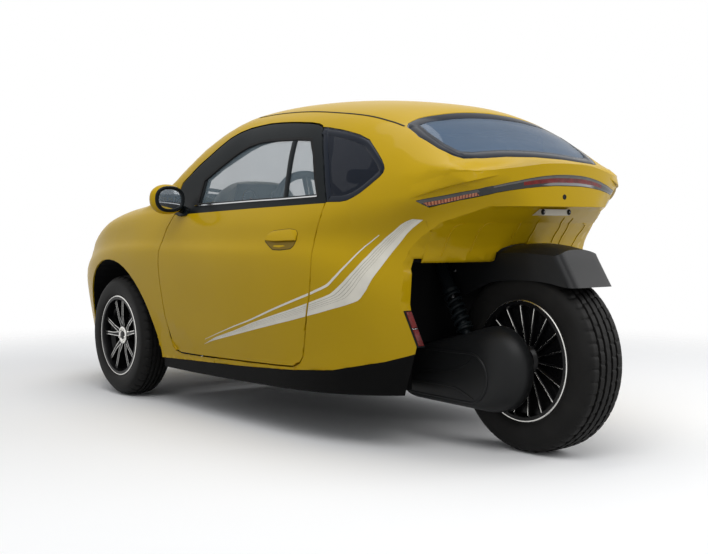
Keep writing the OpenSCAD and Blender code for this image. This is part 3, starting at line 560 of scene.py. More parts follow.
def cut_fine(node):
    """A solid's own mesh, cut along planes a pitch apart on each axis, in triangles."""
    bm = bmesh.new()
    bm.from_mesh(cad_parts[node].data)
    bmesh.ops.remove_doubles(bm, verts=bm.verts, dist=2e-5)
    bmesh.ops.triangulate(bm, faces=bm.faces)
    lo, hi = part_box(node)
    for axis in range(3):
        at = math.ceil(lo[axis] / PITCH) * PITCH + 0.0011
        normal = Vector([1.0 if i == axis else 0.0 for i in range(3)])
        while at < hi[axis]:
            geom = bm.verts[:] + bm.edges[:] + bm.faces[:]
            bmesh.ops.bisect_plane(bm, geom=geom, dist=1e-5, plane_co=normal * at, plane_no=normal)
            at += PITCH
    bmesh.ops.triangulate(bm, faces=bm.faces)
    mesh = bpy.data.meshes.new(node + "_skin")
    bm.to_mesh(mesh)
    bm.free()
    return mesh


def edge_share(flank, far):
    """How much of the neighbouring face's normal a place near the tail's edge takes."""
    return np.where(flank, 0.5 * (1 - ease(0, EDGE_FADE, far)), 0)[:, None]


def panel(node, mat, body="body", depth=0.0, inner=None, crease=28):
    """Lays a solid's own outline on the smooth form, and puts it in the solid's place."""
    mesh = cut_fine(node)
    co = vertex_rows(mesh) * 1000 + ORIGIN
    tri = np.zeros(len(mesh.polygons) * 3, int)
    mesh.polygons.foreach_get("vertices", tri)
    tri = tri.reshape(-1, 3)
    flat = np.cross(co[tri[:, 1]] - co[tri[:, 0]], co[tri[:, 2]] - co[tri[:, 0]])
    size = np.linalg.norm(flat, axis=1)
    flat = unit(flat)
    loops = np.zeros((len(tri), 3, 3))
    new = co.copy()
    gap, out = bow(co)
    near_bow = (np.abs(gap + depth) < 2.0) & (co[:, 0] < BOW_X)
    on_bow = near_bow[tri].all(1) & ((flat * out[tri].mean(1)).sum(1) > 0.97) & (np.abs(flat[:, 2]) < 0.05)
    nose = co[:, 0] > NOSE_X
    for level, sign in [(depth, 1.0)] + ([(inner, -1.0)] if inner is not None else []):
        place, normal, away = nearest(co, level)
        toward = (flat * normal[tri].mean(1)).sum(1)
        close = (away < np.where(nose, NEAR_NOSE, NEAR))[tri].all(1)
        agree = toward * sign > np.where(nose[tri].any(1), ALIKE_NOSE, ALIKE)
        mine = close & agree & ~on_bow & (size > 1e-6)
        used = np.unique(tri[mine])
        share = (ease(*TAIL_FADE, co[used, 0]) * (1 - ease(*NOSE_FADE, co[used, 0])))[:, None]
        new[used] += share * (place[used] - co[used])
        own = normal
        if sign > 0:
            inward = toward < -0.3
            flank = (normal[:, 2] < 0.4) & (co[:, 0] < BOW_X)
            part = edge_share(flank, np.abs(gap + depth))
            own = normal * (1 - part) + out * part
            part = edge_share(flank, away)
            loops[on_bow] = unit(out * (1 - part) + normal * part)[tri[on_bow]]
        loops[mine] = own[tri[mine]] * sign
    loops[(loops * flat[:, None]).sum(2) < 0.55] = 0
    loops = loops.reshape(-1, 3)
    if node == "tail_panel":
        used = np.linalg.norm(loops, axis=1) > 0.5
        loops[used] = dropped(new[tri.ravel()], loops)[1][used]
        new = dropped(new, np.zeros_like(new))[0]
    mesh.vertices.foreach_set("co", ((new - ORIGIN) / 1000).ravel())
    mesh.shade_smooth()
    mesh.set_sharp_from_angle(angle=math.radians(crease))
    mesh.normals_split_custom_set(loops.tolist())
    mesh.materials.append(mat)
    if mat is PAINT and node.split("_")[0] in ("side", "roof"):
        middle = co[tri].mean(1)
        lined = inward & (middle[:, 0] > CABIN_X[0]) & (middle[:, 0] < CABIN_X[1]) & (middle[:, 2] > CABIN_Z)
        mesh.materials.append(LINING)
        mesh.polygons.foreach_set("material_index", lined.astype(np.int32))
    obj = placed(node + "_skin", mesh)
    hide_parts(node)
    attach(obj, body)
    SKINS[node] = mesh


for name in ("side_left", "side_right", "roof_panel", "wing_left", "wing_right", "bonnet", "front_bumper"):
    panel(name, PAINT)
panel("tail_panel", PAINT, crease=50)
for name in ("left", "right"):
    panel("door_" + name, PAINT, "door_" + name)
    panel("door_frame_" + name, SATIN, "door_" + name, 0.5)
    panel("door_glass_" + name, GLASS, "door_" + name, 6.0, 11.0)
for name, mat in (("windscreen", GLASS), ("rear_glass", DARK_GLASS), ("quarter_glass", SIDE_GLASS)):
    panel(name, mat, depth=2.0, inner=7.0)
panel("headlamps", LAMP_CLEAR, depth=0.5)
panel("floor_pan", SILL)

for mat, names in ((LINING, "wheel_linings"), (PLASTIC, "grilles"), (PALE, "plate_bracket"),
                   (STEEL, "hinge_pins_left hinge_pins_right knuckle_left knuckle_right tie_rods"),
                   (METAL, "hinge_posts front_subframe"), (DASH, "dashboard"), (SATIN, "steering_wheel"),
                   (BATTERY, "battery_pack"), (ALLOY, "front_rim_left front_rim_right rear_rim"),
                   (TYRE, "front_tyre_left front_tyre_right rear_tyre")):
    for name in names.split():
        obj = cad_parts[name]
        obj.data.materials.clear()
        obj.data.materials.append(mat)


# Wheels

FRONT_X = 1995
FRONT_Y = 517
FRONT_R = 267
FRONT_RIM = 180.0
REAR_R = 308
REAR_RIM = 206.0
GROOVE = 7.0


def wheel_place(cx, cy, cz, side):
    """Turns (u, v, height) into a point of the wheel round a centre, its outer face to the given side."""
    return lambda u, v, h: (cx + u, cy + side * h, cz + v)


def other_side(profile):
    """The same points with their heights below nought."""
    return [(r, -h) for r, h in profile]


def tyre(name, node, body, place, r, w, f, count):
    """A tyre of radius r and width w on a rim of radius f, with count cuts in each row of its tread."""
    half = w / 2
    tall = r - f
    wall = curve([(f - 10, half - 16), (f + 1, half - 10), (f + 0.16 * tall, half - 3),
                  (f + 0.42 * tall, half), (f + 0.66 * tall, half - 1.5), (r - 20, half - 9),
                  (r - 9, half - 19), (r - 3.4, half - 30)], 22)
    wall = [tuple(p) for p in wall]
    edge = half - 32
    grooves = [share * edge for share in (-0.68, -0.23, 0.23, 0.68)]
    marks = [g + d for g in grooves for d in (-5.0, -4.2, 4.2, 5.0)]
    marks = sorted([edge] + marks + list(np.linspace(-edge, edge, 15)))
    crown = []
    for a in marks[::-1]:
        deep = any(abs(a - g) < 4.5 for g in grooves)
        crown.append((r - 3.4 * abs(a / edge) ** 2.2 - (GROOVE if deep else 0.0), a))
    inner = [(f + 14, half - 22), (f + 0.55 * tall, half - 10), (r - 16, half - 34)]
    profile = wall + crown + other_side(wall[::-1]) + other_side(inner) + inner[::-1]

    def cut(radius, h, i):
        """Cross cuts in the shoulders, the rows beside the middle and the middle row."""
        if radius < r - 12:
            return radius
        lane = abs(h) / edge
        if lane > 0.74:
            return radius - (4.5 if i % 6 == 0 else 0.0)
        if 0.30 < lane < 0.60:
            return radius - (3.2 if (i + (2 if h > 0 else 5)) % 6 == 0 else 0.0)
        return radius - (1.6 if lane < 0.16 and i % 6 == 3 else 0.0)

    shape = Shape()
    shape.spin(profile, place, turns=count * 6, shape=cut)
    obj = shape.make(name, [TYRE], body, angle=38)
    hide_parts(node)


for side, tag in SIDES:
    tyre("front_tyre_%s_tread" % tag, "front_tyre_" + tag, "front_wheel_" + tag,
         wheel_place(FRONT_X, side * FRONT_Y, FRONT_R, side), FRONT_R, 150, FRONT_RIM, 40)
tyre("rear_tyre_tread", "rear_tyre", "rear_wheel", wheel_place(0, 0, REAR_R, 1), REAR_R, 185, REAR_RIM, 46)


def barrel(shape, place, f, w):
    """The rim's barrel and the bright edge of its outer lip."""
    half = w / 2
    outer = [(f - 18, half), (f - 3, half), (f, half - 3), (f, half - 7.4), (f - 12.2, half - 8.2),
             (f - 12.2, half - 36), (f - 32, half - 50)]
    shell = outer + other_side(outer[::-1])
    shell += [(f - 22, -(half - 8)), (f - 22, -(half - 36)), (f - 40, -(half - 52)), (f - 40, half - 52),
              (f - 24, half - 38), (f - 22, half - 12)]
    shape.spin(shell, place, turns=96, mark=0)
    lip = [(f - 6.5, half + 0.4), (f - 4, half + 0.8), (f - 1.6, half - 0.8), (f - 3, half - 3),
           (f - 6.5, half - 3)]
    shape.spin(lip, place, turns=120, mark=1)


def polar(r, deg):
    t = math.radians(deg)
    return np.array([r * math.cos(t), r * math.sin(t)])


def strip(a, b, wa, wb):
    """Corners of a tapered bar from a to b."""
    run = (b - a) / np.linalg.norm(b - a)
    side = np.array([-run[1], run[0]])
    return [a - side * wa / 2, b - side * wb / 2, b + side * wb / 2, a + side * wa / 2]


def front_rim(side, tag):
    place = wheel_place(FRONT_X, side * FRONT_Y, FRONT_R, side)
    shape = Shape()
    barrel(shape, place, FRONT_RIM, 136.0)
    shape.spin([(34, -30), (118, -30), (118, -42), (34, -42)], place, turns=72, mark=2)
    shape.spin([(16, -50), (46, -50), (46, 12), (36, 40), (16, 40)], place, turns=48, mark=0)
    shape.spin([(2, 46), (20, 46), (24, 44), (30, 50), (38, 48), (40, 34), (2, 34)], place, turns=48, mark=1)
    shape.spin([(0.5, 52), (15, 51), (18.5, 48), (18.5, 44), (0.5, 44)], place, turns=36, mark=0)
    for i in range(5):
        centre = 13 - 72 * i
        for arm in (-1, 1):
            start = polar(40, centre + arm * 10)
            knee = polar(86, centre + arm * 12.5)
            end = polar(162, centre + arm * 12.5)
            for a, b, wa, wb, ha, hb in ((start, knee, 24, 18, 44, 52), (knee, end, 18, 17, 52, 55)):
                top = np.array([ha, hb, hb, ha])
                shape.prism(strip(a, b, wa, wb), 26, top, place, 1.6, 0, 1)
                shape.prism(strip(a, b, wa - 9, wb - 8.5), 40, top + 0.9, place, 0.8, 0, 0)
        bolt = polar(28, centre + 36)
        ring = [bolt + polar(5.2, 60 * k) for k in range(6)]
        shape.prism(ring, 30, 53, place, 1.2, 1, 1)
    obj = shape.make("front_rim_%s_spokes" % tag, [RIM_BLACK, ALLOY, STEEL], "front_wheel_" + tag,
                     angle=30)
    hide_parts("front_rim_" + tag)


for side, tag in SIDES:
    front_rim(side, tag)


def rear_rim():
    place = wheel_place(0, 0, REAR_R, 1)
    shape = Shape()
    barrel(shape, place, REAR_RIM, 165.0)
    shape.spin([(14.2, -80), (44, -80), (44, 80), (14.2, 80)], place, turns=48, mark=0)
    shape.spin([(15, 76), (30, 76), (46, 62), (52, 52), (52, 40), (15, 40)], place, turns=48, mark=0)
    shape.spin([(48, 36), (120, 40), (193, 46), (193, 30), (48, 24)], place, turns=72, mark=0)
    for i in range(18):
        turn = 20 * i + 4
        shape.prism(strip(polar(46, turn), polar(190, turn), 8, 5), 40, [52, 64, 64, 52], place, 1.4, 0, 0)
        ridge = []
        for r in np.linspace(54, 192, 8):
            ridge.append(place(*polar(r, turn), np.interp(r, [46, 190], [53.0, 65.0])))
        shape.tube(ridge, [1.0, 1.3, 1.5, 1.7, 1.8, 1.9, 2.0, 2.0], 8, 1)
    obj = shape.make("rear_rim_spokes", [RIM_BLACK, ALLOY], "rear_wheel", angle=30)
    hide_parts("rear_rim")


rear_rim()

# Small parts laid on the form

# Where straight lines start: ahead of the car, behind it and beside it
AHEAD = 2900
BEHIND = -600
BESIDE = 900


def probe(mesh):
    """A function that finds where a straight line first meets a mesh, in millimetres."""
    tree = BVHTree.FromPolygons([v.co for v in mesh.vertices], [p.vertices for p in mesh.polygons])

    def cast(start, way):
        spot, normal, _, _ = tree.ray_cast(Vector((np.asarray(start, float) - ORIGIN) / 1000), Vector(way))
        if spot is None:
            return None
        return np.array(spot) * 1000 + ORIGIN, np.array(normal)

    return cast


def traced(cast, starts, way):
    """Points and normals where straight lines from the starts meet a mesh."""
    hits = [hit for hit in (cast(start, way) for start in starts) if hit is not None]
    return np.array([h[0] for h in hits]), np.array([h[1] for h in hits])


def bar(half, high, low=0.0):
    """A low bar's profile with its upper corners taken off."""
    left = [(-half, low), (-half, high * 0.6), (-half * 0.75, high)]
    return left + [(-a, b) for a, b in left[::-1]]


# Side stripes: upper and lower edge of the wedge, each up to its bend and beyond it, and the thin line above
WEDGE_UP = [(1232, 291), (1122, 330), (982, 365), (843, 406), (716, 439), (604, 468), (506, 496), (443, 516),
            (408, 529)]
WEDGE_UP_2 = [(408, 529), (383, 546), (351, 573), (317, 611), (292, 648), (268, 685), (237, 718), (205, 741),
              (178, 761), (156, 773), (138, 780)]
WEDGE_LOW = [(1157, 312), (987, 348), (851, 377), (725, 404), (612, 428), (515, 451), (460, 464), (414, 477),
             (372, 488), (332, 501), (313, 508)]
WEDGE_LOW_2 = [(313, 508), (300, 518), (279, 546), (261, 586), (246, 617), (233, 647), (217, 677), (197, 704),
               (168, 737), (137, 762), (117, 777)]
THIN = [(1211, 314), (997, 376), (857, 414), (711, 460), (598, 495), (505, 524), (466, 538), (434, 550),
        (411, 561), (389, 580), (363, 606), (337, 636), (312, 671), (283, 701), (250, 728)]
DOOR_EDGE_Z = [360, 392, 457, 526, 588]
DOOR_EDGE_X = [567, 554, 527, 501, 487]
STRIPE_STEPS = 44
THIN_STEPS = 90
FAR_OFF = 40


def stripe(name, upper, lower, rows, mat, lift=0.9):
    """A stripe between two lines on both sides, parted at the door's rear edge."""
    for side, tag in SIDES:
        for part, body in (("door", "door_" + tag), ("body", "body")):
            skin = probe(SKINS[("door_" if part == "door" else "side_") + tag])
            lines = []
            for j in range(rows + 1):
                line = upper + (lower - upper) * j / rows
                over = line[:, 0] - np.interp(line[:, 1], DOOR_EDGE_Z, DOOR_EDGE_X)
                steps = np.arange(len(line))
                if part == "door":
                    at = np.linspace(0, np.interp(-1.2, -over, steps), STRIPE_STEPS)
                else:
                    at = np.linspace(np.interp(7.4, -over, steps), steps[-1], STRIPE_STEPS)
                x = np.interp(at, steps, line[:, 0])
                z = np.interp(at, steps, line[:, 1])
                row = on_side(x, z, side, -lift)[0]
                for i in range(len(x)):
                    hit = skin((x[i], side * BESIDE, z[i]), (0, -side, 0))
                    if hit is not None and abs(hit[0][1] - row[i][1]) < FAR_OFF:
                        row[i] = hit[0] + lift * hit[1] * np.sign(hit[1][1] * side)
                lines.append(row)
            shape = Shape()
            shape.rings(lines, closed=False, caps=False)
            shape.make(name + "_" + part + "_" + tag, [mat], body, angle=60)


upper = np.vstack([spread_out(WEDGE_UP, 60), spread_out(WEDGE_UP_2, 46)[1:]])
lower = np.vstack([spread_out(WEDGE_LOW, 60), spread_out(WEDGE_LOW_2, 46)[1:]])
fall = lower - upper
stripe("wedge", upper, lower, 5, DECAL)
for i, (f, width) in enumerate(((0.16, 0.022), (0.30, 0.018), (0.44, 0.016), (0.57, 0.012))):
    stripe("wedge_line_%d" % i, upper + fall * f, upper + fall * (f + width), 1, DECAL_LINE, 1.3)
thin = spread_out(curve(THIN, THIN_STEPS), THIN_STEPS)
run = along(thin)
half = np.interp(np.arange(THIN_STEPS), [0, 30, 70, 89], [0.6, 2.6, 4.2, 1.0])[:, None]
off = np.stack([-run[:, 1], run[:, 0]], axis=1) * half
stripe("thin_line", thin - off, thin + off, 1, DECAL)

# Door handles, belt trim, window rubber and dividers
FLAP = [(738, 707), (730, 719), (722, 729), (700, 739), (661, 743), (606, 747), (574, 743), (565, 733),
        (567, 720), (569, 708), (625, 706), (680, 704)]
# Outline of the handle's pocket, filled with the darker yellow of painted shade.
POCKET_SHADE_PATCH = [(736, 703), (709, 686), (684, 674), (642, 673), (590, 678), (576, 688), (569, 706), (625, 705),
          (680, 703)]
# Line round the flap and pocket, drawn as a thin dark bar: painted shade of the groove round the handle.
HANDLE_GROOVE_SHADE_LINE = [(738, 707), (722, 729), (700, 739), (661, 743), (606, 747), (574, 743), (565, 733), (569, 707),
       (576, 688), (590, 678), (642, 673), (684, 674), (709, 686), (738, 702)]
BELT = [(1296, 836), (1107, 841), (899, 847), (710, 851), (503, 858)]
WINDOW = [(1284, 838), (1275, 936), (1238, 955), (1181, 986), (1128, 1015), (1076, 1042), (1023, 1061),
          (964, 1071), (902, 1074), (838, 1073), (715, 1069), (648, 1063), (597, 1005), (542, 915),
          (502, 858), (710, 851), (899, 847), (1107, 841)]
PILLAR = [(747, 1068), (687, 853)]
POST = [(1268, 842), (1262, 934)]

for side, tag in SIDES:
    door = "door_" + tag
    shape = Shape()

    def lay(u, v, h):
        return on_side(u, v, side, -h)[0][0]

    # The pocket is a thin plate in darker yellow: painted shade where the recess would be.
    shape.prism(POCKET_SHADE_PATCH, -2, 0.7, lay, 0.4, 1)
    shape.prism(FLAP, -2, np.interp([p[1] for p in FLAP], [704, 747], [7.5, 2.2]), lay, 1.6, 0)
    # A thin dark rubber bar round the handle: painted shade where its groove would be.
    shape.sweep(*on_side(*spread_out(HANDLE_GROOVE_SHADE_LINE + HANDLE_GROOVE_SHADE_LINE[:1], 70).T, side), bar(1.1, 0.9), 2, caps=False)
    shape.make("handle_" + tag, [PAINT, POCKET_PAINTED_SHADE, RUBBER], door, angle=40)
    shape = Shape()
    shape.sweep(*on_side(*spread_out(BELT, 60).T, side, 0.4), bar(3.0, 3.2))
    shape.make("belt_trim_" + tag, [CHROME], door)
    shape = Shape()
    shape.sweep(*on_side(*spread_out(WINDOW + WINDOW[:1], 150).T, side, 5.4), bar(7.0, 5.6), caps=False)
    shape.sweep(*on_side(*spread_out(PILLAR, 16).T, side, 6.0), bar(1, 3.5), 1, scale=np.linspace(15, 12, 16))
    shape.sweep(*on_side(*spread_out(POST, 8).T, side, 6.0), bar(9, 3.0), 1)
    shape.make("window_rubber_" + tag, [RUBBER, SATIN], door)

# Glass borders and roof lines
QUARTER = [(445, 838), (380, 838), (351, 842), (325, 853), (301, 866), (268, 891), (239, 917), (229, 930),
           (229, 942), (237, 954), (254, 971), (282, 993), (323, 1024), (352, 1043), (403, 1061), (459, 1075),
           (516, 1086), (574, 1096), (612, 1102), (578, 1058), (519, 967), (479, 896)]
REAR_LIGHT = [(260, 0), (260, 215), (268, 296), (266, 344), (249, 364), (178, 374), (98, 362), (54, 341),
              (28, 317), (16, 254), (20, 120), (20, 0)]
SCREEN = [(1153, 0), (1150, 200), (1141, 349), (1240, 391), (1350, 427), (1446, 453), (1540, 473),
          (1598, 467), (1697, 390), (1767, 219), (1793, 0)]
DRIP = [(1120, 388), (860, 380), (602, 383), (476, 381), (360, 373), (311, 369), (262, 368)]
BORDER_DEPTH = 1.7
BORDER_LIFT = 0.7


def both_halves(outline):
    """An outline joined to its mirror image."""
    return outline + [(x, -y) for x, y in outline[::-1] if y > 0]


def border(shape, outline, width, lay):
    """A flat band inside an outline; lay puts two rows of places at a depth of the form."""
    pts = spread_out(list(outline) + list(outline[:1]), 160)[:-1]
    if signed_area(pts) < 0:
        pts = pts[::-1]
    lines = []
    for w, h in ((0.5, 0.0), (0.9, BORDER_LIFT), (width - 0.8, BORDER_LIFT), (width, 0.0)):
        lines.append(lay(*inset(pts, w).T, BORDER_DEPTH - h)[0])
    shape.rings(lines, caps=False)


shape = Shape()
for side in (1, -1):
    border(shape, QUARTER, 20, lambda x, z, depth: on_side(x, z, side, depth))
border(shape, both_halves(REAR_LIGHT), 38, on_top)
border(shape, both_halves(SCREEN), 26, on_top)
shape.make("glass_borders", [BORDER], "body", angle=60)
shape = Shape()
drip = spread_out(curve(DRIP, 90), 90)
for side in (1, -1):
    shape.sweep(*on_top(drip[:, 0], drip[:, 1] * side, -0.1), bar(3.4, 1.2))
shape.make("roof_lines", [RUBBER], "body")

# Carpeted toe board under the dashboard, with shallow ribs
shape = Shape()
board = curve([(1560, 203), (1625, 209), (1664, 248), (1672, 330), (1652, 470), (1630, 590)], 40)
run = along(board)
front = np.stack([run[:, 1], -run[:, 0]], axis=1)
rows = []
for y in np.linspace(-344, 344, 140):
    rib = 1.2 * math.cos(2 * math.pi * y / 43)
    near = [(x, y, z) for x, z in board - rib * front]
    far = [(x, y, z) for x, z in (board + 4 * front)[::-1]]
    rows.append(near + far)
shape.rings(rows)
shape.make("toe_board", [LINING], "body", angle=50)

# Painted corner plates at both ends of the scuttle, laid on the form
shape = Shape()
for side in (1, -1):
    for x0, x1, y0, y1 in ((1638, 1707, 466, 526), (1826, 1889, 422, 478)):
        rows = []
        for x in np.linspace(x0, x1, 16):
            wide = np.linspace(y0, y1, 14)
            upper = on_top(np.full(14, x), side * wide, -0.7)[0]
            lower = on_top(np.full(14, x), side * wide[::-1], 2.0)[0]
            rows.append(list(upper) + list(lower))
        shape.rings(rows)
shape.make("scuttle_corners", [PAINT], "body", angle=60)


# Mirrors
OVAL_POWER = 2.35


def mirror(side, tag):
    shape = Shape()
    centre = np.array([1360.0, 672.0 * side, 862.0])

    def oval(x, ry, rz):
        ring = []
        for t in np.linspace(0, 2 * math.pi, 40, endpoint=False):
            c, d = math.cos(t), math.sin(t)
            ring.append(centre + [x, side * ry * math.copysign(abs(c) ** (2 / OVAL_POWER), c),
                                  rz * math.copysign(abs(d) ** (2 / OVAL_POWER), d)])
        return ring

    def skin(ovals, mark, caps=True):
        shape.rings([oval(*o) for o in ovals], mark, caps=caps)

    shell = []
    for x in (44.5, 41, 35, 26, 14, 0, -12, -21, -27):
        k = math.sqrt(max(1 - (x / 46.0) ** 2, 0)) if x > 0 else 1 - 0.16 * (x / 27) ** 2
        shell.append((x, 73.5 * k, 59 * k))
    skin(shell + [(-25, 59, 46), (-12, 57, 44)], 0)
    skin([(-20, 64.5, 52), (-27, 64.5, 52), (-31, 62.5, 50), (-33, 58, 45.5), (-31, 52, 39.5),
          (-23, 51, 38.5)], 1, caps=False)
    skin([(-18, 51.5, 39), (-25.0, 51.5, 39), (-25.7, 40, 30), (-26.3, 20, 15), (-26.5, 2, 1.5)], 2)
    foot = curve([(1352, 630 * side, 836), (1362, 608 * side, 824), (1370, 588 * side, 822)], 12)
    shape.tube(foot, np.linspace(19, 15, 12), 16, 1)
    plinth = on_side([1325, 1340, 1380, 1408, 1418], [812, 810, 808, 807, 807], side, -0.4)
    shape.sweep(*plinth, bar(1, 9), 1, scale=[5, 14, 15, 11, 4])
    obj = shape.make("mirror_%s_shell" % tag, [PAINT, SATIN, MIRROR], "door_" + tag, angle=32)
    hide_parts("mirror_" + tag)


for side, tag in SIDES:
    mirror(side, tag)


# Light bar round the tail
CORNER_X = -44
TIP_X = 94
# Along the bar: where its side lamps start and end, and where the middle lamps start
SIDE_FROM = 0.06
SIDE_TO = 0.93
MIDDLE_FROM = 1.46


def band_point(way, f, depth):
    """A point of the light bar: way is 0 at the left tip, 1 at the corner, 2 in the middle; f is 1 on top."""
    side = 1 if way <= 2 else -1
    way = min(way, 4 - way)
    if way < 1:
        x = TIP_X + (CORNER_X - TIP_X) * way
    else:
        x = bow_x(bow_y(CORNER_X) * (2 - way))
    tip = 12 * (1 - way / 0.1) if way < 0.1 else 0
    z_low = np.interp(x, BAND_X, BAND_LOW) + 0.3
    z_top = np.interp(x, BAND_X, BAND_TOP) - 0.3
    z = z_low + (z_top - z_low) * f
    x = x - tip * (1 - f)
    loft = on_side(x, z, 1, depth)[0][0][1]
    if way < 1 and loft < bow_y(x + depth) - depth:
        y = loft
    else:
        y = min(loft, max(bow_y(x + depth) - depth, 0.0)) if way < 1 else bow_y(CORNER_X) * (2 - way)
    if way >= 1:
        x = bow_x(y) + depth * (1 - 0.25 * (2 - way))
        y = min(y, on_side(x, z, 1, depth)[0][0][1])
    return np.array([x, side * y, z])


def light_bar():
    shape = Shape()
    ways = [np.linspace(0, 1, 60, endpoint=False), np.linspace(1, 3, 140), np.linspace(3, 4, 61)[1:]]
    ways = np.concatenate(ways)
    levels = [0, 0.0, 0.10, 0.16, 0.30, 0.44, 0.56, 0.70, 0.86, 0.92, 1.0, 1.0]
    grid = []
    for i, way in enumerate(ways):
        near = min(way, 4 - way)
        row = []
        for j, f in enumerate(levels):
            if j in (0, len(levels) - 1):
                row.append(band_point(way, f, 11.5))
                continue
            lit = (SIDE_FROM < near < SIDE_TO and 3 <= j <= 6) or (near > MIDDLE_FROM and 4 <= j <= 7)
            bump = 0.9 if lit and (i + j) % 2 else (0.4 if j in (2, 9) else 0)
            inset_by = 3.4 if lit else (1.7 if j in (1, 2, 9, 10) else 2.6)
            row.append(band_point(way, f, inset_by - bump))
        grid.append(row)
    shape.rings(grid, 0, closed=False, caps=False)
    n = len(levels)
    for k in range(len(shape.faces)):
        i, j = divmod(k, n - 1)
        way = min(ways[i], 4 - ways[i])
        if j in (0, 1, 9, 10):
            shape.marks[k] = 0
        elif SIDE_FROM < way < SIDE_TO and 3 <= j <= 5:
            shape.marks[k] = 2 if (i + 2 * j) % 3 else 1
        elif way > MIDDLE_FROM and 4 <= j <= 6:
            shape.marks[k] = 1
        elif j >= 6 and way < 1.0 or way > 1.16 and j in (7, 8):
            shape.marks[k] = 3
    obj = shape.make("light_bar", [LAMP_DARK, LAMP_RED, LAMP_AMBER, LAMP_SMOKE], "body", angle=50)
    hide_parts("tail_lamps")


light_bar()

# Reflectors low on the tail's corners
shape = Shape()
for side in (1, -1):
    def leaning(u, v, h):
        return (188 + 0.257 * (v - 500) - 6 - 0.95 * h, side * (423 + 0.274 * (v - 482) + u), v + 0.25 * h)

    shape.prism([(-15, 361), (15, 361), (15, 481), (-15, 481)], -5.6, 0.6, leaning, 1.0, 1)
    for low, high in ((365, 418), (424, 477)):
        shape.prism([(-11.5, low), (11.5, low), (11.5, high), (-11.5, high)], 0.2, 3.2, leaning, 1.4, 0)
    shape.prism([(-11.5, 419.5), (11.5, 419.5), (11.5, 422.5), (-11.5, 422.5)], 0.2, 2.2, leaning, 0.6, 2)
shape.make("reflector_lenses", [LAMP_RED, SATIN, CHROME], "body", angle=40)

# Under the tail: pressed lines
tail = probe(SKINS["tail_panel"])
shape = Shape()
for line in ([(285, 765), (306, 761), (314, 746), (311, 719), (309, 686), (316, 656)],
             [(183, 769), (207, 765), (216, 749), (212, 718), (210, 688), (214, 668)],
             [(76, 772), (69, 746), (65, 712)], [(2, 778), (-13, 745), (-16, 717), (-16, 698)],
             [(-111, 786), (-139, 757), (-146, 728), (-150, 699)], [(-169, 783), (-196, 745), (-203, 694)],
             [(-285, 765), (-306, 761), (-314, 746), (-311, 719), (-309, 686), (-316, 656)]):
    path, normals = traced(tail, [(BEHIND, y, z) for y, z in curve(line, 30)], (1, 0, 0))
    path = np.vstack([path[:1], (path[:-2] + path[1:-1] + path[2:]) / 3, path[-1:]])
    taper = np.interp(np.arange(30), [0, 4, 25, 29], [0.3, 1, 1, 0.3])
    shape.sweep(path, normals, bar(3.0, 2.2, -1.0), scale=taper)
shape.make("tail_pressings", [PAINT], "body", angle=60)

# Lip over the light bar's ends: heights up the deck, each with a share of the lip's thickness
LIP_LINE = [(97, 490, 843), (43, 448, 864), (-3, 398, 883), (-54, 325, 904), (-82, 268, 917)]
LIP_PROFILE = [(-1.5, -0.3), (-1.2, 0.5), (-0.4, 0.9), (0.8, 1.0), (5, 0.93), (12, 0.75), (22, 0.48),
               (34, 0.2), (46, -0.1), (20, -0.5)]
LIP_THICK = 8
shape = Shape()
for side in (1, -1):
    rows = []
    for i, (x, y, z) in enumerate(curve(LIP_LINE, 60)):
        out = bow(np.array([[x, y, z]]))[1][0]
        tall = LIP_THICK * np.interp(i, [0, 16, 44, 59], [0.05, 1, 1, 0.05])
        reach = np.interp(x, [-82, -54, -3], [0.3, 0.6, 1])
        row = []
        for up, share in LIP_PROFILE:
            start = np.array([x, y, z + up * reach]) + 300 * out
            spot = tail(start * (1, side, 1), Vector(-out * (1, side, 1)))
            base = spot[0] if spot else rows[-1][len(row)]
            row.append(base + out * (1, side, 1) * tall * share)
        rows.append(row)
    shape.rings(rows if side > 0 else rows[::-1], 0)
shape.make("tail_lip", [PAINT], "body", angle=50)

# Plate studs and a lock
STUD = [(0.4, 5), (4.6, 5), (5.4, 4), (5.6, 1.6), (9.4, 1.2), (9.8, 0.2), (9.8, 0), (0.4, 0)]
shape = Shape()
for y in (-62, 62):
    stud = lambda u, v, h: (-78 - h, y + u, 803 + v)
    shape.spin(STUD, stud, turns=30)
    shape.spin([(0.4, 5.4), (2.2, 5.3), (2.4, 4.6), (0.4, 4.6)], stud, turns=18, mark=1)
spot, _ = tail((BEHIND, 22, 851), (1, 0, 0))
lock = lambda u, v, h: (spot[0] - h, 22 + u, 851 + v)
shape.spin([(0.4, 0.5), (5.6, 0.5), (6.4, 1.4), (8.2, 1.0), (8.6, 0), (8.6, -3), (0.4, -3)], lock, turns=30)
shape.make("plate_studs", [RUBBER, STEEL], "body", angle=40)


# Rear mudguard as one smooth shell: x, heights of shoulder and crown, then its lower edge
GUARD = np.array([(-250, 640, 657), (-190, 657, 676), (-150, 662, 684), (-90, 666, 695), (-25, 668, 700),
                  (40, 667, 696), (110, 662, 689), (180, 652, 674), (250, 640, 658),
                  (345, 621.5, 637.5)], float)
GUARD_LOW = np.array([(-246, 558), (-195, 564), (-121, 575), (-13, 578), (108, 568), (185, 542), (286, 505),
                      (345, 484)], float)
GUARD_FRONT = 344.4
GUARD_BACK = -205
GUARD_HALF = 104


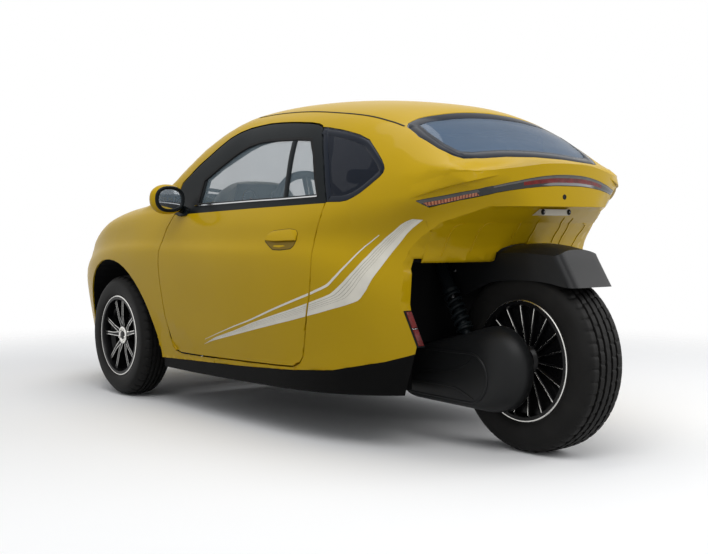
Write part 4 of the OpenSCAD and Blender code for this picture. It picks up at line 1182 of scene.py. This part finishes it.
def guard():
    shape_line = curve(GUARD, 90)
    low_line = curve(GUARD_LOW, 90)
    fractions = [1.0, 0.994, 0.97, 0.92, 0.85, 0.74, 0.6, 0.45, 0.3, 0.15, 0.0]
    ups = [0.0, 0.2, 0.4, 0.6, 0.8, 0.93]
    corner_r = 26.0

    def half_width(x):
        return GUARD_HALF * (1 + min(x + 60, 0) / 3200)

    def rear_end(z, y, w, d):
        over = max(abs(y) - (w - d - corner_r), 0.0)
        round_off = corner_r - math.sqrt(max(corner_r ** 2 - min(over, corner_r) ** 2, 0.0))
        slope = -246 + (z - 558) * 0.65 if z < 655 else -183 + (z - 655) * 0.55
        return slope + round_off + 1.2 * d

    def ring(u, d):
        pts = []
        for wf, up in [(1.0, f) for f in ups] + [(f, None) for f in fractions]:
            x = GUARD_FRONT + (GUARD_BACK - GUARD_FRONT) * u
            for _ in range(8):
                low = np.interp(x, low_line[:, 0], low_line[:, 1])
                sh = np.interp(x, shape_line[:, 0], shape_line[:, 1]) - d
                top = np.interp(x, shape_line[:, 0], shape_line[:, 2]) - d
                w = half_width(x)
                z = low + (sh - low) * up if up is not None else sh + (top - sh) * (1 - wf ** 2.7)
                x = GUARD_FRONT + (rear_end(z, (w - d) * wf, w, d) - GUARD_FRONT) * u
            pts.append((x, (w - d) * wf, z))
        return pts + [(p[0], -p[1], p[2]) for p in pts[-2::-1]]

    shape = Shape()
    steps = 1 - (1 - np.linspace(0, 1, 60)) ** 1.3
    shells = []
    for d in (0.0, 4.5):
        rows = [ring(u, d) for u in steps]
        last = rows[-1]
        tops = last[len(ups):len(last) - len(ups)]
        back = []
        for p in tops:
            w = half_width(p[0])
            column = []
            for f in ups + [1.0]:
                z = last[0][2] + (p[2] - last[0][2]) * f
                column.append((rear_end(z, p[1], w, d) if f < 1 else p[0], p[1], z))
            back.append(column)
        back[0] = last[:len(ups) + 1]
        back[-1] = last[::-1][:len(ups) + 1]
        shape.rings(rows, closed=False, caps=False)
        shape.rings(back, closed=False, caps=False)
        shells.append((rows, back))
    edges = []
    for rows, back in shells:
        edges.append([r[0] for r in rows] + [c[0] for c in back[1:-1]] + [r[-1] for r in rows[::-1]])
    shape.rings(edges, closed=False, caps=False)
    shape.rings([rows[0] for rows, back in shells], closed=False, caps=False)
    head = [(0.4, 3.4), (4, 3.4), (5.4, 2), (8.5, 1.6), (8.8, 0), (0.4, 0)]
    for side in (1, -1):
        for x, z in ((300, 600), (322, 560)):
            bolt = lambda u, v, h: (x + u, side * (103.6 + h), z + v)
            shape.spin(head, bolt, turns=24, mark=1)
    obj = shape.make("rear_guard_shell", [PLASTIC, STEEL], "body", angle=34)
    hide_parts("rear_guard")


guard()


def two_circles(c1, r1, c2, r2, count=40):
    """Outline round two circles, against the clock."""
    c1, c2 = np.asarray(c1, float), np.asarray(c2, float)
    way = c2 - c1
    lean = math.atan2(way[1], way[0])
    open_by = math.acos((r1 - r2) / np.linalg.norm(way))
    one = np.linspace(lean + open_by, lean + 2 * math.pi - open_by, count)
    two = np.linspace(lean - open_by, lean + open_by, count)
    return ([c1 + r1 * np.array([math.cos(t), math.sin(t)]) for t in one]
            + [c2 + r2 * np.array([math.cos(t), math.sin(t)]) for t in two])


# Swing arm with its drum, axle and pivot tube
PIVOT = (440, 226)


def drive_unit():
    shape = Shape()

    def layer(y, k, less=0.0):
        c1 = np.array([49, 280]) + k * np.array([61, -31])
        c2 = np.array([400, 238]) + k * np.array([0, 10])
        outline = two_circles(c1, 144 - 58 * k - less, c2, 96 - 14 * k - less)
        return [(p[0], y, p[1]) for p in outline]

    def arm(steps, one, r_one, two, r_two, count):
        """A flat arm round two circles, with its edges drawn in at each step."""
        rings = []
        for y, less in steps:
            outline = two_circles(one, r_one - less, two, r_two - less, count)
            rings.append([(p[0], y, p[1]) for p in outline])
        shape.rings(rings, 0)

    rings = [layer(112.5, 0, 8), layer(114, 0, 3), layer(119, 0)]
    for turn in np.linspace(0, math.pi / 2, 12):
        rings.append(layer(136 + 72 * math.sin(turn), 1 - math.cos(turn)))
    for y, less in ((210.5, 0.5), (212.5, 2.5), (212.5, 5), (210.5, 7.5), (210, 12)):
        rings.append(layer(y, 1, less))
    shape.rings(rings, 0)
    for line in ([(372, 246), (330, 253), (252, 258), (177, 273), (136, 293), (104, 314)],
                 [(410, 212), (366, 212), (269, 213), (185, 210), (135, 195), (90, 180)]):
        path = np.array([(x, 210, z) for x, z in curve(line, 40)])
        taper = np.interp(np.arange(40), [0, 5, 34, 39], [0.5, 1, 1, 0.3])
        shape.sweep(path, (0, 1, 0), bar(3.4, 2.4, -1), scale=taper)
    arm(((-114, 6), (-118, 1), (-124, 0), (-158, 0), (-164, 2), (-167, 6), (-168, 12)),
        (0, REAR_R), 46, PIVOT, 45, 24)
    arm(((-134, 3), (-137, 0), (-165, 0), (-168, 3)), (184, 280), 40, (176, 344), 24, 20)
    shape.spin([(0.5, -186), (9, -186), (9, -178), (22, -178), (22, -168), (14, -168), (14, 150), (0.5, 150)],
               wheel_place(0, 0, REAR_R, 1), turns=30, mark=1)
    pivot = wheel_place(PIVOT[0], 0, PIVOT[1], 1)
    tube = [(0.5, -261), (25, -261), (28, -258), (28, 258), (25, 261), (0.5, 261)]
    shape.spin(tube, pivot, turns=36, mark=0)
    for y in (-200, -190, -96, -86, 96, 106, 222, 232):
        collar = [(27, y), (33, y), (34, y + 2), (34, y + 8), (33, y + 10), (27, y + 10)]
        shape.spin(collar, pivot, turns=36, mark=0)
    obj = shape.make("drive_unit_housing", [METAL, STEEL], "body", angle=32)
    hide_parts("drive_unit")


drive_unit()


# Rear shocks with their coil springs
SHOCK_Y = 152.0
COIL_R = 25.5
COIL_TURNS = 5.6


def shocks():
    shape = Shape()
    for side in (1, -1):
        base = np.array([176.0, SHOCK_Y * side, 371.0])
        top = np.array([329.0, SHOCK_Y * side, 636.0])
        way = (top - base) / np.linalg.norm(top - base)
        reach = np.linalg.norm(top - base) - 13
        aside = np.array([0.0, 1.0, 0.0])
        other = np.cross(way, aside)

        def place(u, v, h):
            return base + u * aside + v * other + h * way

        def column(profile, mark, turns=30):
            closed = [(0.5, profile[0][1])] + profile + [(0.5, profile[-1][1])]
            shape.spin(closed, place, turns=turns, mark=mark)

        column([(11, 5), (14, 7), (14, 28), (17, 30), (17, 150), (15, 153)], 0)
        column([(7, 150), (7, reach - 30)], 1)
        column([(24, 33), (30, 35), (30, 41), (20, 43)], 0)
        column([(14, 168), (20, 172), (28, 184), (28, 190), (22, 194), (22, reach - 6), (18, reach)], 0)
        coil = []
        for t in np.linspace(0, 1, 170):
            turn = 2 * math.pi * COIL_TURNS * t
            coil.append(place(COIL_R * math.cos(turn), COIL_R * math.sin(turn), 44 + 134 * t))
        shape.tube(coil, 5.6, 9, 0)
    obj = shape.make("rear_shock_springs", [SATIN, STEEL], "body", angle=40)
    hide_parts("rear_shocks")


shocks()


# Seats: padded forms, simulated once and mirrored
SEAT_Y = 256
SEAT_Z = 329.4
SEAM_Y = 0.118
SEAM_WIDE = 0.006
SEAM_DEEP = 0.007
CLOTH_FRAMES = 20


def extruded(outline, half):
    """A closed mesh of a side outline between -half and half, in metres."""
    pts = np.asarray(outline, float)
    if signed_area(pts) < 0:
        pts = pts[::-1]
    n = len(pts)
    verts = [(x / 1000, y / 1000, z / 1000) for y in (-half, half) for x, z in pts]
    faces = [list(range(n)), [n + i for i in range(n)][::-1]]
    faces += [[i, n + i, n + (i + 1) % n, (i + 1) % n][::-1] for i in range(n)]
    mesh = bpy.data.meshes.new("pad")
    mesh.from_pydata(verts, [], [f[::-1] for f in faces])
    return mesh


def swell(mesh, voxel, cap, box):
    """Remeshes a form, lets cloth pressure fill it, and keeps it within a box, in metres."""
    obj = placed("pad", mesh)
    obj.modifiers.new("remesh", "REMESH").mode = "VOXEL"
    obj.modifiers["remesh"].voxel_size = voxel
    graph = bpy.context.evaluated_depsgraph_get()
    start = bpy.data.meshes.new_from_object(obj.evaluated_get(graph))
    obj.modifiers.clear()
    obj.data = start
    before = vertex_rows(start)
    after = before
    cloth = obj.modifiers.new("cloth", "CLOTH")
    cloth.settings.quality = 6
    cloth.settings.use_pressure = True
    cloth.settings.uniform_pressure_force = 4
    cloth.settings.tension_stiffness = 25
    cloth.settings.compression_stiffness = 25
    cloth.settings.bending_stiffness = 2
    cloth.settings.effector_weights.gravity = 0
    cloth.point_cache.frame_start = 1
    cloth.point_cache.frame_end = CLOTH_FRAMES
    for number in range(1, CLOTH_FRAMES + 1):
        scene.frame_set(number)
    graph = bpy.context.evaluated_depsgraph_get()
    swollen = bpy.data.meshes.new_from_object(obj.evaluated_get(graph))
    after = vertex_rows(swollen)
    scene.frame_set(1)
    obj.modifiers.clear()
    move = after - before
    size = np.maximum(np.linalg.norm(move, axis=1), 1e-9)
    done = before + move * np.minimum(1, cap / size)[:, None]
    done = np.clip(done, box[0], box[1])
    start.vertices.foreach_set("co", done.ravel())
    smooth = obj.modifiers.new("smooth", "SUBSURF")
    smooth.levels = smooth.render_levels = 1
    graph = bpy.context.evaluated_depsgraph_get()
    final = bpy.data.meshes.new_from_object(obj.evaluated_get(graph))
    bpy.data.objects.remove(obj)
    return final


def seat_pieces():
    # Name, side outline, half width, box to stay in, facing, and the axis and places of the seams
    pads = (
        ("cushion", [(664, 14), (1112, 14), (1128, 52), (1108, 88), (900, 74), (770, 62), (664, 66)], 186,
         [[0.640, -0.2025, 0.0], [1.150, 0.2025, 0.108]], (0, 0, 1.0), 0, (0.80, 0.88, 0.96, 1.04)),
        ("back", [(628, 100), (728, 108), (690, 240), (636, 440), (606, 530), (562, 534), (566, 470),
                  (584, 330), (612, 180)], 180,
         [[0.512, -0.2025, 0.078], [0.760, 0.2025, 0.560]], (0.96, 0, 0.27), 2, (0.20, 0.28, 0.36, 0.44)),
        ("head", [(590, 582), (592, 620), (560, 634), (538, 622), (532, 590), (548, 576)], 112,
         [[0.512, -0.130, 0.560], [0.614, 0.130, 0.648]], (1.0, 0, 0), 2, ()),
    )
    for key, outline, half, box, front, axis, seams in pads:
        mesh = swell(extruded(outline, half), 0.012, 0.024, np.array(box))
        co = vertex_rows(mesh)
        if seams:
            front = np.array(front)
            facing = np.clip((vertex_rows(mesh, "normal") @ front - 0.35) / 0.4, 0, 1)
            groove = np.zeros(len(co))
            for line in (-SEAM_Y, SEAM_Y):
                groove += np.exp(-((co[:, 1] - line) / SEAM_WIDE) ** 2)
            middle = np.abs(co[:, 1]) < SEAM_Y
            for line in seams:
                groove += np.where(middle, 0.8 * np.exp(-((co[:, axis] - line) / SEAM_WIDE) ** 2), 0)
            co = co - front * (SEAM_DEEP * np.minimum(groove, 1) * facing)[:, None]
        for side, tag in SIDES:
            copy = mesh.copy()
            place = co.copy()
            place[:, 1] = side * (place[:, 1] + SEAT_Y / 1000)
            place[:, 2] += SEAT_Z / 1000
            place[:, 0] -= ORIGIN[0] / 1000
            copy.vertices.foreach_set("co", place.ravel())
            if side < 0:
                copy.flip_normals()
            copy.materials.clear()
            copy.materials.append(SEAT)
            copy.shade_smooth()
            obj = placed("seat_%s_%s" % (key, tag), copy)
            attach(obj, "body")
            if key == "cushion" and side > 0:
                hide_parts("seats")
    shape = Shape()
    backrest = [(-176, 90), (176, 90), (176, 480), (150, 528), (-150, 528), (-176, 480)]
    pin = [(0.5, 184), (24, 184), (30, 188), (30, 196), (24, 200), (0.5, 200)]
    for side in (1, -1):
        mid = side * SEAT_Y

        def behind(u, v, h):
            return (np.interp(v, [90, 365, 530], [600, 562, 524]) + 12 - h, mid + u, SEAT_Z + v)

        for y in (mid - 46, mid + 46):
            shape.tube([(566, y, SEAT_Z + 505), (564, y, SEAT_Z + 596)], 5.5, 12, 1)
        base = [(648, mid - 190), (1126, mid - 190), (1126, mid + 190), (648, mid + 190)]
        shape.prism(base, SEAT_Z, SEAT_Z + 22, lambda u, v, h: (u, v, h), 4.0, 0)
        shape.prism(backrest, 0, 9, behind, 3.0, 0)
        hinge = lambda u, v, h: (640 + u, mid + h, SEAT_Z + 70 + v)
        shape.spin(pin, hinge, turns=30, mark=0)
    shape.make("seat_frames", [TRIM_DARK, STEEL], "body", angle=35)


seat_pieces()


# Cabin: steering wheel pad, instruments, door cards, pillar trim and roof lining
WHEEL_SIN = 0.342
WHEEL_COS = 0.9397


def on_wheel(u, v, h):
    """A place on the raked steering wheel."""
    return (940 - WHEEL_SIN * u + WHEEL_COS * h, SEAT_Y + v, 796 - WHEEL_COS * u - WHEEL_SIN * h)


shape = Shape()
shape.spin([(0.5, -37), (24, -36.5), (40, -33), (48, -27), (50, -20), (0.5, -20)], on_wheel, turns=48)
shape.spin([(29, -37.5), (33, -37.2), (34, -35), (29, -35)], on_wheel, turns=48, mark=1)
for turn in (60, 180, 300):
    a, b = polar(58, turn), polar(158, turn)
    shape.prism(strip(a, b, 20, 14), 6.5, 10.5, lambda u, v, h: on_wheel(u, v, -h), 1.2, 1)
for start in (20, 140, 260):
    grip = []
    for t in np.linspace(start, start + 80, 24):
        q = polar(172, t)
        grip.append(on_wheel(q[0], q[1], 0))
    shape.tube(grip, np.interp(np.arange(24), [0, 2, 21, 23], [14.2, 15.6, 15.6, 14.2]), 16)
shape.make("steering_wheel_trim", [TRIM_DARK, ALLOY], "steering_wheel", angle=35)

DIAL_Y = 262
DIAL_R = 38
shape = Shape()
hood = []
for x, grow in ((1300, 0.94), (1306, 1.0), (1360, 1.02), (1420, 0.92), (1500, 0.72), (1560, 0.5)):
    ring = []
    for t in np.linspace(0, math.pi, 25):
        c, d = math.cos(t), math.sin(t)
        wide = 170 * grow * math.copysign(abs(c) ** 0.7, c)
        ring.append((x, DIAL_Y + wide, 816 + 124 * grow * abs(d) ** 0.7))
    hood.append(ring + [(x, DIAL_Y - 170 * grow, 806), (x, DIAL_Y + 170 * grow, 806)])
shape.rings(hood, 5)
shape.prism([(-130, -44), (130, -44), (138, 0), (120, 62), (-120, 62), (-138, 0)], -4, 3,
            lambda u, v, h: (1300 - h, DIAL_Y + u, 866 + v), 2.0, 0)
for y in (-66, 66):
    r = DIAL_R
    dial = lambda u, v, h: (1302 - h, DIAL_Y + y + u, 872 + v)
    shape.spin([(0.5, 7), (r - 8, 7), (r - 4, 12), (r, 12), (r, 4), (0.5, 4)], dial, turns=40, mark=0)
    shape.spin([(r - 3, 13), (r + 1, 13), (r + 2, 8), (r - 3, 8)], dial, turns=40, mark=1)
    for t in range(-30, 211, 20):
        a, b = polar(r - 13, t), polar(r - 8, t)
        shape.prism(strip(a, b, 2.2, 2.2), 6, 8.4, dial, 0.3, 3)
    a, b = polar(0.5, 200), polar(r - 12, 200)
    shape.prism(strip(b, a, 1.4, 2.4), 7, 9, dial, 0.3, 2)
for y in (-330, -180, 60):
    vent = lambda u, v, h: (1303 - h + 0.12 * v, y + u, 772 + v)
    shape.prism([(-48, -22), (48, -22), (54, 0), (48, 22), (-48, 22), (-54, 0)], -8, 5, vent, 3.0, 0)
    for z in (-13, -4.5, 4, 12.5):
        shape.prism([(-42, z - 2.4), (42, z - 2.4), (42, z + 2.4), (-42, z + 2.4)], 4, 8, vent, 0.8, 1)
screen = lambda u, v, h: (1310 - h + 0.1 * v, u, 812 + v)
shape.prism([(-92, -34), (92, -34), (96, 0), (92, 58), (-92, 58), (-96, 0)], -18, 8, screen, 4.0, 0)
shape.prism([(-82, -26), (82, -26), (82, 50), (-82, 50)], 6, 9, screen, 1.0, 4)
shape.make("instruments", [TRIM_DARK, CHROME, LAMP_AMBER, PALE, LAMP_DARK, DASH], "body", angle=35)

shape = Shape()
for side in (1, -1):
    for x0, x1, count, s, depth, radius in ((1140, 1590, 40, 4.02, 26.0, 17), (330, 1130, 50, 4.0, 30.0, 15)):
        x = np.linspace(x0, x1, count)
        path, _ = surface(x, np.full(count, s), np.full(count, float(side)), depth)
        shape.tube(path, radius, 12)
lines = []
for y in np.linspace(-330, 330, 25):
    lines.append(on_top(np.linspace(290, 1130, 40), np.full(40, y), 15.0)[0])
shape.rings(lines, closed=False, caps=False)
shape.make("roof_lining", [DASH], "body", angle=50)

CARD = [(600, 330), (1380, 300), (1400, 420), (1404, 640), (1372, 792), (560, 812), (540, 700), (548, 560)]
CARD_LAYERS = ((1.0, 41.0), (0.99, 46.0), (0.965, 49.0), (0.9, 50.0), (0.86, 48.0), (0.6, 48.0), (0.3, 48.0),
               (0.01, 48.0))
for side, tag in SIDES:
    shape = Shape()
    rows = []
    rim = spread_out(CARD + CARD[:1], 121)[:-1]
    if signed_area(rim) < 0:
        rim = rim[::-1]
    centre = np.array([970.0, 570.0])
    for f, depth in CARD_LAYERS:
        ring = centre + (rim - centre) * f
        rows.append(on_side(ring[:, 0], ring[:, 1], side, depth)[0])
    shape.rings(rows, 0, caps=False)
    rest = []
    for x in np.linspace(640, 1240, 30):
        grow = math.sin(math.pi * np.clip((x - 640) / 600, 0.04, 0.96)) ** 0.4
        mid = on_side(x, 610, side, 48.0)[0][0]
        ring = []
        for t in np.linspace(0, 2 * math.pi, 20, endpoint=False):
            out = 34 * grow * max(math.cos(t), 0)
            ring.append((mid[0], mid[1] - side * out, mid[2] + 26 * grow * math.sin(t)))
        rest.append(ring)
    shape.rings(rest, 1)
    handle, _ = on_side(np.linspace(1180, 1280, 14), np.full(14, 700.0), side, 56.0)
    shape.tube(handle, 7, 10, 2)
    speaker, _ = on_side(1240, 440, side, 48.0)
    disc = lambda u, v, h: speaker[0] + np.array([u, -side * h, v])
    shape.spin([(0.5, 6), (50, 5), (58, 3), (62, 0), (0.5, 0)], disc, turns=48, mark=1)
    for r in (14, 24, 34, 44):
        shape.spin([(r - 1.6, 5.4), (r, 7.6), (r + 1.6, 5.4)], disc, turns=48, mark=1)
    shape.make("door_card_" + tag, [DASH, TRIM_DARK, CHROME], "door_" + tag, angle=40)

# Nose: lamp details, grille bars, wipers
def trace_bar(shape, cast, places, profile, mark=0, least=6):
    """A bar along the line where a mesh is met from ahead, if enough of it is."""
    path, normals = traced(cast, [(AHEAD, y, z) for y, z in places], (-1, 0, 0))
    if len(path) > least:
        shape.sweep(path, normals, profile, mark)


nose = probe(SKINS["headlamps"])
shape = Shape()
for side in (1, -1):
    for y, z, r in ((400, 650, 24), (458, 662, 19)):
        hit = nose((AHEAD, side * y, z), (-1, 0, 0))
        if hit is None:
            continue
        spot, normal = hit
        normal = normal / np.linalg.norm(normal)
        a = np.cross(normal, (0, 0, 1.0))
        a /= np.linalg.norm(a)
        b = np.cross(a, normal)
        disc = lambda u, v, h: spot + u * a + v * b + h * normal
        lens = [(0.5, 2.6), (r * 0.5, 2.2), (r * 0.8, 0.4), (r * 0.8, -6), (0.5, -6)]
        ring = [(r * 0.8, 0.6), (r * 0.9, 2.4), (r, 1.0), (r, -6), (r * 0.8, -6)]
        shape.spin(lens, disc, turns=36, mark=0)
        shape.spin(ring, disc, turns=36, mark=1)
    line = curve([(332, 622), (380, 616), (440, 618), (500, 634)], 40)
    trace_bar(shape, nose, line * (side, 1), bar(3.0, 1.6, -1.0), 2)
shape.make("headlamp_parts", [LAMP_DARK, CHROME, PALE], "body", angle=40)

grille = probe(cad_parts["grilles"].data)
shape = Shape()
for z, reach in ((276, 262), (292, 300), (308, 316), (324, 310), (340, 302), (356, 296), (372, 290)):
    places = [(y, z) for y in np.linspace(-reach, reach, 60)]
    trace_bar(shape, grille, places, bar(3.2, 3.4, -1.0), least=10)
for y in np.linspace(-260, 260, 27):
    trace_bar(shape, grille, [(y, z) for z in np.linspace(270, 378, 14)], bar(2.0, 2.2, -1.0))
shape.make("grille_bars", [SATIN], "body", angle=50)

shape = Shape()
for pivot, tip in (((1770, 110), (1664, 350)), ((1778, -170), (1722, 150))):
    line = spread_out([pivot, tip], 24)
    shape.sweep(*on_top(line[:, 0], line[:, 1], -7.0), bar(1, 4.5, -1), scale=np.linspace(8, 4, 24))
    blade = line[8:]
    shape.sweep(*on_top(blade[:, 0], blade[:, 1], 1.0), bar(3.0, 8.0, 0.4))
    knob, _ = on_top(pivot[0], pivot[1], 0.0)
    disc = lambda u, v, h: knob[0] + np.array([u, v, h])
    shape.spin([(0.5, 13), (9, 12), (13, 9), (14, 0), (0.5, 0)], disc, turns=30)
shape.make("wipers", [RUBBER], "body", angle=40)

# Camera, light and floor

camera_data = bpy.data.cameras.new("camera")
camera_data.sensor_width = 36
camera_data.lens = 56.64
camera = placed("camera", camera_data)
camera.location = (-3.790, 2.7645, 0.760)
yaw, pitch = math.radians(37.37), math.radians(2.667)
look = Vector((math.cos(yaw) * math.cos(pitch), -math.sin(yaw) * math.cos(pitch), -math.sin(pitch)))
camera.rotation_euler = look.to_track_quat("-Z", "Y").to_euler()
scene.camera = camera


def area(name, place, aim, size, power):
    data = bpy.data.lights.new(name, "AREA")
    data.shape = "RECTANGLE"
    data.size, data.size_y = size
    data.energy = power
    lamp = placed(name, data)
    lamp.location = place
    lamp.rotation_euler = (Vector(aim) - Vector(place)).to_track_quat("-Z", "Y").to_euler()


area("key", (-3.4, 2.6, 5.0), (-0.2, 0, 0.6), (4.5, 3.0), 120)
area("top", (0.2, 0.0, 5.2), (0, 0, 0.6), (4.0, 3.0), 72)
area("rim", (-3.4, -3.0, 2.3), (-0.4, 0, 0.7), (3.0, 2.2), 64)

def seen_by_eye(tree):
    """One for camera, glossy and transmission rays, and nought for all others."""
    rays = new_node(tree, "LightPath")
    share = rays.outputs["Is Camera Ray"]
    for kind in ("Is Glossy Ray", "Is Transmission Ray"):
        either = new_node(tree, "Math")
        either.operation = "MAXIMUM"
        tree.links.new(share, either.inputs[0])
        tree.links.new(rays.outputs[kind], either.inputs[1])
        share = either.outputs[0]
    return share


def mixed(tree, share, first, second):
    """A mix of two shaders: the first where share is nought, the second where it is one."""
    mix = new_node(tree, "MixShader")
    for place, output in enumerate((share, first, second)):
        tree.links.new(output, mix.inputs[place])
    return mix.outputs[0]


world = bpy.data.worlds.new("studio")
scene.world = world
world.use_nodes = True
tree = world.node_tree
tree.nodes.clear()
output = new_node(tree, "OutputWorld")
soft = new_node(tree, "Background", {"Color": (0.95, 0.97, 1.0, 1), "Strength": 0.49})
white = new_node(tree, "Background", {"Color": (1, 1, 1, 1), "Strength": 1.0})
tree.links.new(mixed(tree, seen_by_eye(tree), soft.outputs[0], white.outputs[0]), output.inputs["Surface"])

floor_mesh = bpy.data.meshes.new("floor")
bm = bmesh.new()
bmesh.ops.create_circle(bm, cap_ends=True, radius=30, segments=64)
bm.to_mesh(floor_mesh)
bm.free()
floor = placed("floor", floor_mesh)
floor.location = (0, 0, -0.0005)


def floor_material():
    """Pale to the eye and in reflections, dimmer to bounced light, and gone into the backdrop further out."""
    m = bpy.data.materials.new("floor_pale")
    m.use_nodes = True
    tree = m.node_tree
    tree.nodes.clear()
    link = tree.links.new
    out = new_node(tree, "OutputMaterial")
    dim = new_node(tree, "BsdfDiffuse", {"Color": (0.42, 0.42, 0.42, 1)})
    pale = new_node(tree, "BsdfDiffuse", {"Color": (0.97, 0.97, 0.97, 1)})
    near = mixed(tree, seen_by_eye(tree), dim.outputs[0], pale.outputs[0])
    place = new_node(tree, "TexCoord")
    far = new_node(tree, "VectorMath")
    far.operation = "LENGTH"
    link(place.outputs["Object"], far.inputs[0])
    fade = new_node(tree, "MapRange", {"From Min": 1.9, "From Max": 4.2})
    fade.interpolation_type = "SMOOTHSTEP"
    link(far.outputs["Value"], fade.inputs["Value"])
    clear = new_node(tree, "BsdfTransparent")
    link(mixed(tree, fade.outputs["Result"], near, clear.outputs[0]), out.inputs["Surface"])
    return m


floor_mesh.materials.append(floor_material())
